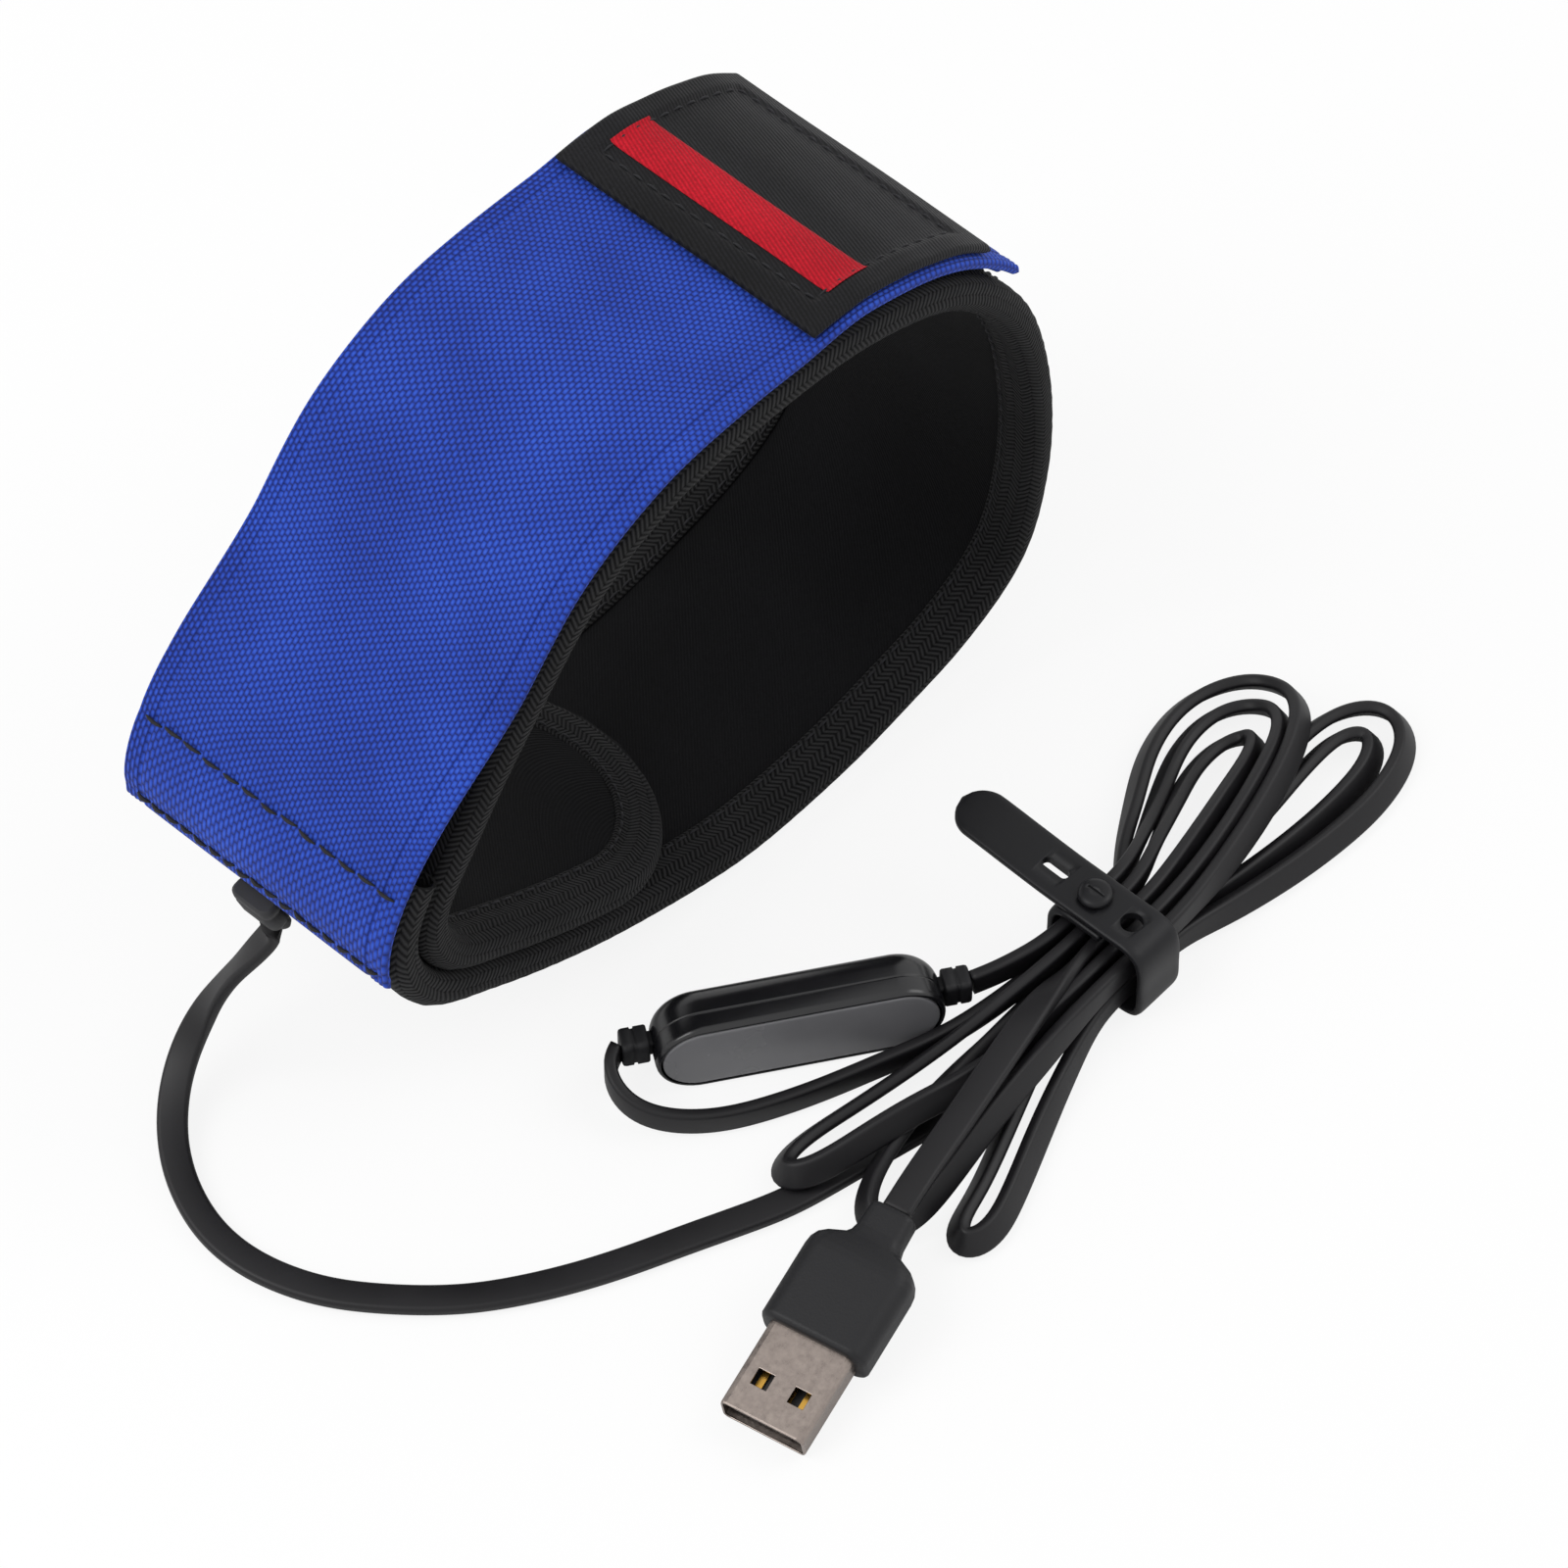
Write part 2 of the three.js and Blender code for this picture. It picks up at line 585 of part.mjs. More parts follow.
// Stud of the tie: a foot on the inner end, a stem through the hole and a head above
const studFoot = tieHigh + tieThickness / 2 + gap / 2;
const headZ = tieOver + tieThickness / 2 + gap + studHeadHeight / 2;
addPiece(tie, 'tie_stud', geometryOf(
  solid(upright(tieHole - 2 * gap, headZ - studFoot, studY, (headZ + studFoot) / 2))
    .add(solid(upright(studHead, studHeadHeight, studY, headZ))),
), 0x1d1d20, 0.55);

// The stretches of the lead that are not coiled
part.updateMatrixWorld(true);
const exitPoint = (reach) => bend(
  strapHem + 2 * gap + exitLength + reach, 0, exitThickness / 2, () => exitBottom,
).applyMatrix4(loop.matrixWorld).toArray();
const collarOut = endWall + 2 * gap + collarLength;
const collarPoint = (side, reach) => new THREE.Vector3(side * (collarOut + reach), 0, middleZ)
  .applyMatrix4(controller.matrixWorld).toArray();
const neckPoint = (reach) => new THREE.Vector3(bodyEnd + plugNeckLength + gap + reach, 0, 0)
  .applyMatrix4(plug.matrixWorld).toArray();

addPiece(part, 'lead_from_strip', lead([
  [-34.5, -65.7, 4], [-38, -64.2, 2.6], [-41.7, -62.6, 1.4], [-48.1, -59.6, 1.2], [-54.6, -56.7, 1.2],
  [-60.8, -53.6, 1.2], [-67.7, -49.4, 1.2], [-74, -44.7, 1.2], [-78.5, -40.1, 1.2], [-82.6, -35, 1.2],
  [-85.9, -30.1, 1.2], [-88.3, -24.4, 1.2], [-89.6, -18.8, 1.2], [-89.6, -12.9, 1.2], [-88.2, -7.4, 1.3],
  [-85, -1, 1.8], [-80, 4.6, 3.2], [-74.8, 7.6, 6.6], [-70.2, 8, 11.6], [-67.4, 5.8, 18.5],
  [-65, 2.2, 26.5], exitPoint(3), exitPoint(0.2),
], 64), 0x222024, 0.6);
addPiece(part, 'lead_to_controller', lead([
  [-10.2, -60.9, 2.4], [-14.5, -59.2, 2.3], [-19.5, -57.2, 2.3], [-25, -54.6, 2.3],
  [-31.3, -50.9, 2.3], [-35.8, -46.6, 2.5], [-38.6, -42.2, 3.2], [-38.9, -38.2, 4.4], [-37.2, -35.2, 5.7],
  collarPoint(-1, 1.6), collarPoint(-1, 0),
], 24, true), 0x222024, 0.6);
addPiece(part, 'lead_from_controller', lead([
  collarPoint(1, 0), collarPoint(1, 1.4), [8.9, -64.3, 6.5], [10, -64.8, 6.5],
], 6, true), 0x222024, 0.6);
addPiece(part, 'lead_to_plug', lead([neckPoint(0), neckPoint(1), neckPoint(2.6)], 3), 0x222024, 0.6);

export default part;
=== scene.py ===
"""Telescope dew heater strip: a padded heating strip closed into a loop by a blue elastic strap, with a woven
label, a flat lead, an in-line controller, a tied hank of lead and a plug. Sizes are millimetres until a mesh is
made, then metres. Each section makes one piece or one group of like pieces."""

import bpy
import numpy as np
from mathutils import Matrix


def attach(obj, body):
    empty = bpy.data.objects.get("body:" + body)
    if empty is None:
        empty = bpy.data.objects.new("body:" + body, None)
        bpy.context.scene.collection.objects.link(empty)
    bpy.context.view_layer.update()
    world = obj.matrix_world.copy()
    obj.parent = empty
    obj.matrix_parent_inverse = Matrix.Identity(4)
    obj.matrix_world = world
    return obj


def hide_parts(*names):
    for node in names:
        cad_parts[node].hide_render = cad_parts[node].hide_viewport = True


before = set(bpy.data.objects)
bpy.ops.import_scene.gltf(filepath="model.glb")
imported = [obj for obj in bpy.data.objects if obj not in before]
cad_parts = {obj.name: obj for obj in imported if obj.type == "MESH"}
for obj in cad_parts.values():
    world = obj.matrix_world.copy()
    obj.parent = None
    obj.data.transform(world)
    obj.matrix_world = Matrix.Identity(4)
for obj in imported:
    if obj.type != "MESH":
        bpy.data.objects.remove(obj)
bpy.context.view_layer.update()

# Camera: a long lens on a stand, looking down on the strip from its near left side.
# The target is the point of the table at the middle of the picture.
view_turn, view_rise = np.radians(-48), np.radians(54)
to_right = np.array([np.cos(view_turn), np.sin(view_turn), 0])
to_back = np.array([
    np.sin(view_turn) * np.cos(view_rise), -np.cos(view_turn) * np.cos(view_rise), np.sin(view_rise),
])
view_axes = Matrix(np.column_stack([to_right, np.cross(to_back, to_right), to_back]).tolist()).to_4x4()
lens = bpy.data.cameras.new("camera")
lens.lens, lens.sensor_width, lens.clip_end = 182.4, 36, 20
camera = bpy.data.objects.new("camera", lens)
camera.matrix_world = Matrix.Translation(np.array([0.0168, -0.01865, 0]) + 1.1 * to_back) @ view_axes
bpy.context.scene.collection.objects.link(camera)
bpy.context.scene.camera = camera

# Lead: a flat two-core lead with a matt moulded PVC jacket, 4.2 mm wide and 1.8 mm thick. It leaves the strip,
# lies on the table, is wound into a tied hank with five turns on the right and three on the left, and passes
# through the controller to the plug. The first cord ends in the controller, and the second one starts there.
lead_width, lead_thickness = 4.2, 1.8


def curve(points, closed=False, cuts=24):
    """Points close together on a centripetal Catmull-Rom curve: between two points the curve is a blend of
    straight lines, where each knot lies the square root of a gap after the last one."""
    p = np.asarray(points, float)
    p = np.vstack([p[-1], p, p[:2]]) if closed else np.vstack([2 * p[0] - p[1], p, 2 * p[-1] - p[-2]])
    knot = np.r_[0, np.cumsum(np.sqrt(np.linalg.norm(np.diff(p[:, :3], axis=0), axis=1)))]
    t0, t1, t2, t3 = (knot[i:len(knot) - 3 + i, None, None] for i in range(4))
    p0, p1, p2, p3 = (p[i:len(p) - 3 + i, None, :] for i in range(4))
    t = t1 + (t2 - t1) * np.linspace(0, 1, cuts, endpoint=False)[None, :, None]
    a1 = (p0 * (t1 - t) + p1 * (t - t0)) / (t1 - t0)
    a2 = (p1 * (t2 - t) + p2 * (t - t1)) / (t2 - t1)
    a3 = (p2 * (t3 - t) + p3 * (t - t2)) / (t3 - t2)
    b1 = (a1 * (t2 - t) + a2 * (t - t0)) / (t2 - t0)
    b2 = (a2 * (t3 - t) + a3 * (t - t1)) / (t3 - t1)
    c = ((b1 * (t2 - t) + b2 * (t - t1)) / (t2 - t1)).reshape(-1, p.shape[1])
    return np.vstack([c, points[0] if closed else points[-1]])


def lengths(points):
    """Distance along the points from the first one to each."""
    return np.r_[0, np.cumsum(np.linalg.norm(np.diff(points[:, :3], axis=0), axis=1))]


def route(points, step=0.8, soften=3.0):
    """The curve through the points cut at equal steps of its length, then softened: each point becomes the
    bell-shaped mean of its neighbours, and both ends stay where they are."""
    fine = curve(points)
    along = lengths(fine)
    even = np.linspace(0, along[-1], int(along[-1] / step))
    p = np.column_stack([np.interp(even, along, column) for column in fine.T])
    reach = int(3 * soften / step)
    bell = np.exp(-0.5 * (np.arange(-reach, reach + 1) * step / soften) ** 2)
    padded = np.vstack([2 * p[0] - p[reach:0:-1], p, 2 * p[-1] - p[-2:-reach - 2:-1]])
    return np.column_stack([np.convolve(column, bell / bell.sum(), "valid") for column in padded.T])


def rounded_bar(wide, thick, corner, cuts=4):
    """Outline of a flat bar with round corners: four quarter circles, each set in by the corner's radius."""
    angle = np.radians(np.linspace(0, 90, cuts + 1))
    quarter = np.column_stack([np.cos(angle), np.sin(angle)]) * corner + [wide / 2 - corner, thick / 2 - corner]
    return np.vstack([quarter, quarter[::-1] * [-1, 1], -quarter, quarter[::-1] * [1, -1]])


def placed(name, mesh, finish):
    """The mesh with its material as a piece that rides on the root body, in that material slot."""
    mesh.materials.append(finish)
    piece = bpy.data.objects.new(name, mesh)
    bpy.context.scene.collection.objects.link(piece)
    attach(piece, "root")
    return piece


def skin(name, rings, finish, along=None, around=None, loop=False, smooth=True):
    """Closed skin through rings of equally many points: a grid of quads round and along, and a flat cap on each
    end unless the rings close on themselves. Each corner's UV is its distance along and around, in mm. Faces
    are turned outwards by the sign of the enclosed volume."""
    rings = np.asarray(rings, float)
    n, m = rings.shape[:2]
    closed = np.concatenate([rings, rings[:, :1]], 1)
    if along is None:
        along = lengths(np.concatenate([rings, rings[:1]]).mean(1) if loop else rings.mean(1))
    if around is None:
        around = np.c_[np.zeros(n), np.cumsum(np.linalg.norm(np.diff(closed, axis=1), axis=2), 1)]
    around = np.broadcast_to(around, (n, m + 1))
    i, j = (a.ravel() for a in np.meshgrid(np.arange(n if loop else n - 1), np.arange(m), indexing="ij"))
    corner = [(i, j), (i, j + 1), (i + 1, j + 1), (i + 1, j)]
    quads = np.stack([(a % n) * m + b % m for a, b in corner], 1)
    uv = np.stack([np.column_stack([along[a], around[a % n, b]]) for a, b in corner], 1)
    p = rings.reshape(-1, 3) / 1000
    tri = np.concatenate([quads[:, [0, 1, 2]], quads[:, [0, 2, 3]]])
    middle = p.mean(0)
    a, b, c = (p[tri[:, k]] - middle for k in range(3))
    flip = np.einsum("ij,ij->i", a, np.cross(b, c)).sum() < 0
    if flip:
        quads, uv = quads[:, ::-1], uv[:, ::-1]
    faces, uvs = quads.tolist(), uv.reshape(-1, 2)
    if not loop:
        first, last = list(range(m)), list(range((n - 1) * m, n * m))
        first, last = (first, last[::-1]) if flip else (first[::-1], last)
        faces += [first, last]
        uvs = np.vstack([uvs, np.zeros((2 * m, 2))])
    mesh = bpy.data.meshes.new(name)
    mesh.from_pydata(p.tolist(), [], faces)
    mesh.uv_layers.new(name="cloth").uv.foreach_set("vector", uvs.ravel())
    mesh.polygons.foreach_set("use_smooth", [smooth and k < len(quads) for k in range(len(faces))])
    return placed(name, mesh, finish)


def add(tree, kind, inputs=(), out=0, **settings):
    """Adds a node with its settings, gives its inputs values or links, and returns one of its outputs."""
    made = tree.nodes.new("ShaderNode" + kind)
    for key, value in settings.items():
        setattr(made, key, value)
    for key, value in (inputs.items() if isinstance(inputs, dict) else enumerate(inputs)):
        if isinstance(value, bpy.types.NodeSocket):
            tree.links.new(value, made.inputs[key])
        else:
            made.inputs[key].default_value = value
    return made.outputs[out]


def paint(hexes):
    """Linear colour of an sRGB hex value: the low end divided by 12.92, the rest by the 2.4 power rule."""
    c = np.array([int(hexes[k:k + 2], 16) for k in (1, 3, 5)]) / 255
    return (*np.where(c <= 0.04045, c / 12.92, ((c + 0.055) / 1.055) ** 2.4), 1)


def surface_of(name, roughness, ior=1.5, metallic=0.0, sheen=0.0, specular=0.5):
    """A new material with its plain settings on the shader; returns the material, its tree and a link to join a
    socket."""
    made = bpy.data.materials.new(name)
    made.use_nodes = True
    tree = made.node_tree
    shader = tree.nodes["Principled BSDF"]
    shader.inputs["Roughness"].default_value = roughness
    shader.inputs["IOR"].default_value = ior
    shader.inputs["Metallic"].default_value = metallic
    shader.inputs["Sheen Weight"].default_value = sheen
    shader.inputs["Sheen Roughness"].default_value = 0.4
    shader.inputs["Specular IOR Level"].default_value = specular
    return made, tree, lambda name, value: tree.links.new(value, shader.inputs[name])


def cloud(tree, scale, detail):
    """Noise laid in the object's own metres."""
    return add(tree, "TexNoise", {"Vector": add(tree, "TexCoord", out=3), "Scale": scale, "Detail": detail})


def blend(tree, share, dark, light):
    """Colour between two hex shades, by a share from 0 to 1."""
    return add(tree, "Mix", {0: share, 6: paint(dark), 7: paint(light)}, out=2, data_type="RGBA")


def cloth_axes(tree):
    """Distances along and across the cloth in mm, from its UV map."""
    return [add(tree, "SeparateXYZ", [add(tree, "UVMap", uv_map="cloth")], out=k) for k in (0, 1)]


def refinish(node, finish):
    """Gives a solid of the frame another material."""
    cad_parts[node].data.materials.clear()
    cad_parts[node].data.materials.append(finish)


def moulded(name, dark, light, roughness, grain, depth, **more):
    """Moulded plastic or rubber: a fine grain in the bump, cloudy changes of gloss, and a colour that drifts a
    little between two shades."""
    made, tree, join = surface_of(name, roughness, **more)
    fine, wide = cloud(tree, 1000 / grain, 3.0), cloud(tree, 90.0, 4.0)
    join("Base Color", blend(tree, wide, dark, light))
    join("Roughness", add(tree, "MapRange", {0: wide, 1: 0.3, 2: 0.7, 3: roughness * 0.88, 4: roughness * 1.12}))
    join("Normal", add(tree, "Bump", {"Height": fine, "Strength": 0.35, "Distance": depth / 1000}))
    return made


# PVC with a soft matt skin from the extruder: broad grey lights, a grain just seen at 0.25 mm
lead_pvc = moulded("matt_pvc_jacket", "#0E0D0F", "#171619", 0.48, 0.25, 0.02, ior=1.52, specular=0.3)


def ribbon(name, points, finish):
    """Flat lead along a route of (x, y, z, tilt): the section's wide side lies level at tilt 0 and upright at
    tilt 90, turned about the line of travel. Returns the piece and its route in mm."""
    line = route(points)
    centre, tilt = line[:, :3], np.radians(line[:, 3])[:, None]
    ahead = np.gradient(centre, axis=0)
    ahead /= np.linalg.norm(ahead, axis=1)[:, None]
    level = np.cross([0, 0, 1], ahead)
    level /= np.linalg.norm(level, axis=1)[:, None]
    over = np.cross(ahead, level)
    wide = np.cos(tilt) * level + np.sin(tilt) * over
    thin = np.cos(tilt) * over - np.sin(tilt) * level
    section = rounded_bar(lead_width, lead_thickness, 0.62)
    rings = centre[:, None] + section[:, :1] * wide[:, None] + section[:, 1:] * thin[:, None]
    return skin(name, rings, finish), centre


# Places of the strands in the tie: five columns side by side, two rows
tie_x = 23
column_y = [-77.7, -75.1, -72.5, -69.9, -67.3]
row_z = [4.1, 8.9]
turn_lean = 30


def through_tie(column, row, heading):
    """Three points of a strand inside the tie, upright, heading to the right (1) or to the left (-1)."""
    return [(tie_x + heading * x, column_y[column], row_z[row], 90) for x in (-8, 0, 8)]


def turn(points, hand):
    """A turn of the hank outside the tie: upright near the tie and leaning inwards further out; hand is 1
    anticlockwise and -1 clockwise."""
    return [(x, y, z, 90 - hand * turn_lean * min(1, max(0, abs(x - tie_x) - 10) / 14)) for x, y, z in points]


first_right = turn([
    (42, -73, 2.5), (54, -72.6, 2.3), (66, -71.4, 2.3), (74.5, -71.7, 2.3), (77.2, -74.6, 2.3),
    (73.5, -77.6, 2.3), (64, -78.8, 2.3), (52, -78.3, 2.4), (40, -76.6, 2.9),
], -1)
first_left = turn([
    (6, -76, 3.6), (-4, -79, 2.6), (-12, -82, 2.3), (-19, -84.4, 2.3), (-24.6, -85.6, 2.3), (-25.6, -88.2, 2.3),
    (-21.5, -89.8, 2.3), (-14, -87.6, 2.3), (-5, -84, 2.3), (5, -80.4, 3),
], 1)
second_right = turn([
    (42, -79.7, 2.7), (56, -82, 2.4), (70, -82.2, 2.3), (79.5, -78.8, 2.3), (81.6, -73.2, 2.3), (76, -68.6, 2.3),
    (66, -67.9, 2.3), (54, -69.6, 2.3), (42, -70.3, 2.4),
], 1)
second_left = turn([
    (5, -69.6, 4), (-6, -69.8, 4.3), (-16, -70.6, 4.4), (-25, -72.3, 3.6), (-30.5, -75, 2.6), (-31, -78.2, 2.4),
    (-26.5, -80.4, 3), (-18, -80.2, 5), (-9, -79.3, 7), (1, -78.5, 7.8),
], 1)
third_right = turn([
    (42, -76.3, 8), (54, -73.6, 7.2), (64, -70.4, 6.9), (70.5, -66.8, 6.3), (73.8, -61.5, 3.9), (72, -55.7, 2.5),
    (63.5, -52, 2.3), (54, -53.3, 2.3), (45, -58, 2.3), (37, -62.6, 2.8),
], 1)
fourth_right = turn([
    (39, -64.3, 6), (48, -60, 2.9), (57.5, -56.2, 2.3), (66, -56.5, 2.3), (70.3, -61.2, 3), (67.8, -66, 5.6),
    (62, -68.9, 6.8), (53, -71.6, 7.2), (42, -74, 8.1),
], -1)
third_left = turn([
    (6, -75.1, 8.1), (-2, -74.6, 7.6), (-9, -73.4, 7.9), (-15, -71.8, 8.4), (-22, -69.6, 7.2), (-28.6, -67.2, 5),
    (-33.4, -64.6, 3.8), (-33.2, -61.8, 2.9), (-27.5, -61, 2.3), (-18, -62.6, 2.3), (-9, -64.4, 2.9), (0, -66.6, 5),
], -1)
fifth_right = turn([
    (39, -66.9, 7.6), (47, -63.4, 5), (55.5, -60.3, 2.7), (62.6, -60.4, 2.4), (65.4, -63.4, 3.2), (61, -66.3, 5.2),
    (53, -68.5, 6.8), (43, -70.7, 7.9),
], -1)

# Loop line: the middle of the strip seen along the loop's axis, anticlockwise, as in the solid model.
# Every piece of the loop is laid on this line by its distance along it and its height outwards.
loop_points = np.array([
    (-57.5, 46), (-54.5, 36), (-44, 28), (-26.5, 18), (-8, 10.5), (10, 5.5), (28, 2.9), (46, 5.6), (57.5, 13),
    (62, 27), (61.5, 48), (56, 67), (44, 82), (26, 90.5), (6, 93.2), (-12, 92.6), (-26, 86.5), (-39, 73), (-50, 59),
])
loop_line = curve(np.column_stack([loop_points[:, 0], np.zeros(len(loop_points)), loop_points[:, 1]]), True, 100)
loop_along = lengths(loop_line)
loop_length = loop_along[-1]
loop_shift = np.array([1.6732, 0, 1.6892])
half_strip, step_over, tongue_tip = 2.65, 5.6, 71


def smoothstep(x, low, high):
    """Rises from 0 at low to 1 at high: 3 t squared less 2 t cubed."""
    t = np.clip((x - low) / (high - low), 0, 1)
    return t * t * (3 - 2 * t)


def strip_offset(d):
    """Outward step of the strip's first stretch, which lies over the tongue and then joins the loop line."""
    return step_over * (1 - smoothstep(d, tongue_tip, tongue_tip + 42))


def on_loop(d, y, h):
    """Place of (distance, across, height outwards) on the loop: the line's point plus the outward normal times
    the height."""
    d, y, h = np.broadcast_arrays(np.asarray(d, float), y, h)
    turn_at = np.mod(d, loop_length)
    ahead = np.gradient(loop_line, axis=0)
    x, z = (np.interp(turn_at, loop_along, loop_line[:, k]) for k in (0, 2))
    tx, tz = (np.interp(turn_at, loop_along, ahead[:, k]) for k in (0, 2))
    size = np.hypot(tx, tz)
    return np.stack([x + tz / size * h, y, z - tx / size * h], -1) + loop_shift


exit_height = step_over + half_strip + 0.3 + 1.6
exit_end, exit_ahead = on_loop([7.8, 10.6], 0, exit_height)


def local_place(turn_z, turn_y, origin):
    """Function that takes local mm points to their place: turned about Y, then about Z, then moved."""
    cz, sz, cy, sy = np.cos(turn_z), np.sin(turn_z), np.cos(turn_y), np.sin(turn_y)
    turned = np.array([[cz, -sz, 0], [sz, cz, 0], [0, 0, 1]]) @ np.array([[cy, 0, sy], [0, 1, 0], [-sy, 0, cy]])
    return lambda p: np.asarray(p, float) @ turned.T + origin


on_controller = local_place(np.radians(-35.3), 0, (-14.3, -48.7, 0))
plug_turn = np.radians(10.9)
on_plug = local_place(plug_turn, np.radians(-11.5), (-47.1, -84.2, 6.1))
left_collar, left_ahead = on_controller([(-24.4, 0, 6.5), (-26, 0, 6.5)])
right_collar, right_ahead = on_controller([(24.4, 0, 6.5), (25.8, 0, 6.5)])
neck_end, neck_ahead = on_plug([(17.3, 0, 0), (20.2, 0, 0)])

strip_lead, strip_route = ribbon("lead_to_strip", [
    (*exit_end, 0), (*exit_ahead, 0), (-65, 2.2, 26.5, 0), (-67.4, 5.8, 18.5, 0), (-70.2, 8, 11.6, 0),
    (-74.8, 7.6, 6.6, 0), (-80, 4.6, 3.2, 0), (-85, -1, 1.8, 0), (-88.2, -7.4, 1.3, 0), (-89.6, -12.9, 1.2, 0),
    (-89.6, -18.8, 1.2, 0), (-88.3, -24.4, 1.2, 0), (-85.9, -30.1, 1.2, 0), (-82.6, -35, 1.2, 0),
    (-78.5, -40.1, 1.2, 0), (-74, -44.7, 1.2, 0), (-67.7, -49.4, 1.2, 0), (-60.8, -53.6, 1.2, 0),
    (-54.6, -56.7, 1.2, 0), (-48.1, -59.6, 1.2, 0), (-41.7, -62.6, 1.2, 0), (-34.5, -65.7, 1.1, 0),
    (-27, -67.6, 1.1, 0), (-18, -69.8, 1.1, 0), (-9, -71.9, 1.3, 10), (0, -72.8, 2.4, 50), (8, -72.6, 3.6, 80),
    *through_tie(2, 0, 1), *first_right, *through_tie(1, 0, -1), *first_left, *through_tie(0, 0, 1),
    *second_right, *through_tie(3, 0, -1), *second_left, *through_tie(0, 1, 1),
    *third_right, *through_tie(4, 0, -1),
    (8, -66.4, 3.4, 90), (-1, -64.4, 2.6, 90), (-10.2, -60.9, 2.4, 90), (-14.5, -59.2, 2.3, 90),
    (-19.5, -57.2, 2.3, 90), (-25, -54.6, 2.3, 90), (-31.3, -50.9, 2.3, 90), (-35.8, -46.6, 2.5, 90),
    (-38.6, -42.2, 3.2, 90), (-38.9, -38.2, 4.4, 90), (-37.2, -35.2, 5.7, 90), (*left_ahead, 90), (*left_collar, 90),
], lead_pvc)
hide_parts("lead_from_strip", "lead_to_controller", "cord_hank")

plug_lead, plug_route = ribbon("lead_to_plug_end", [
    (*right_collar, 90), (*right_ahead, 90), (9.2, -64.4, 6.7, 90), *through_tie(4, 1, 1),
    *fourth_right, *through_tie(1, 1, -1), *third_left, *through_tie(3, 1, 1),
    *fifth_right, (31, -72.5, 8.9, 90), (23, -72.5, 9, 90), (15, -72.6, 9.4, 70), (8, -73.4, 10.4, 20),
    (1, -74.8, 10.9, 0), (-8, -76.6, 10.8, 0), (-17, -78.4, 10.5, 0), (-23, -79.5, 10.4, 0),
    (*neck_ahead, 0), (*neck_end, 0),
], lead_pvc)
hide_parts("lead_from_controller", "lead_to_plug")

# Padded strip: a webbing cover outside, a soft foam pad, the heating film and a twill lining inside.
# The layers are cut to one outline with a round tongue, and laid on the loop line.
strip_width, strip_start = 49, -8
strip_end = loop_length + tongue_tip
tongue_centre = strip_end - strip_width / 2


def edged(half, radius, step):
    """Places from -half to half: even steps in between, and closer and closer where the edge is rounded."""
    edge = half - radius + radius * np.sin(np.radians([12, 30, 48, 64, 78, 90]))
    flat = np.linspace(-(half - radius), half - radius, max(2, int(2 * (half - radius) / step)))
    return np.r_[-edge[::-1], flat, edge]


def edge_fall(x, half, radius):
    """1 on the flat, and down to 0 at the edge along a quarter circle of that radius."""
    return np.sqrt(1 - np.clip((np.abs(x) - (half - radius)) / radius, 0, 1) ** 2)


def slab(name, d, across, half_width, middle, thick, offset, finish, round_ends=0.5, round_sides=0.5):
    """Sheet on the loop: rings along the distances, each with the top from one side to the other and the bottom
    back. Height is the middle plus or minus half the thickness, which falls off in a quarter circle at the
    sides and ends."""
    share = across / np.abs(across).max()
    width = np.broadcast_to(half_width, d.shape)[:, None]
    y = share[None] * width
    dd = np.broadcast_to(d[:, None], y.shape)
    end_fall = edge_fall(dd - (d[0] + d[-1]) / 2, (d[-1] - d[0]) / 2, round_ends)
    half = thick(dd, y) / 2 * (0.08 + 0.92 * end_fall * edge_fall(y, width, round_sides))
    base = middle(dd, y) + offset(dd)
    top, bottom = on_loop(dd, y, base + half), on_loop(dd, y, base - half)
    rings = np.concatenate([top, bottom[:, ::-1]], 1)
    around = np.concatenate([y, 2 * width - y[:, ::-1], y[:, :1] + 4 * width], 1)
    return skin(name, rings, finish, along=d, around=around)


def crease(d, y, seed):
    """Low uneven waves, as in sewn padding: three sines of unlike lengths and turns added up, from -1 to 1."""
    waves = (d * 0.21 + y * 0.11 + seed, d * 0.093 - y * 0.19 + 2 * seed, d * 0.37 + 0.7 * seed)
    return sum(np.sin(wave) for wave in waves) / 3


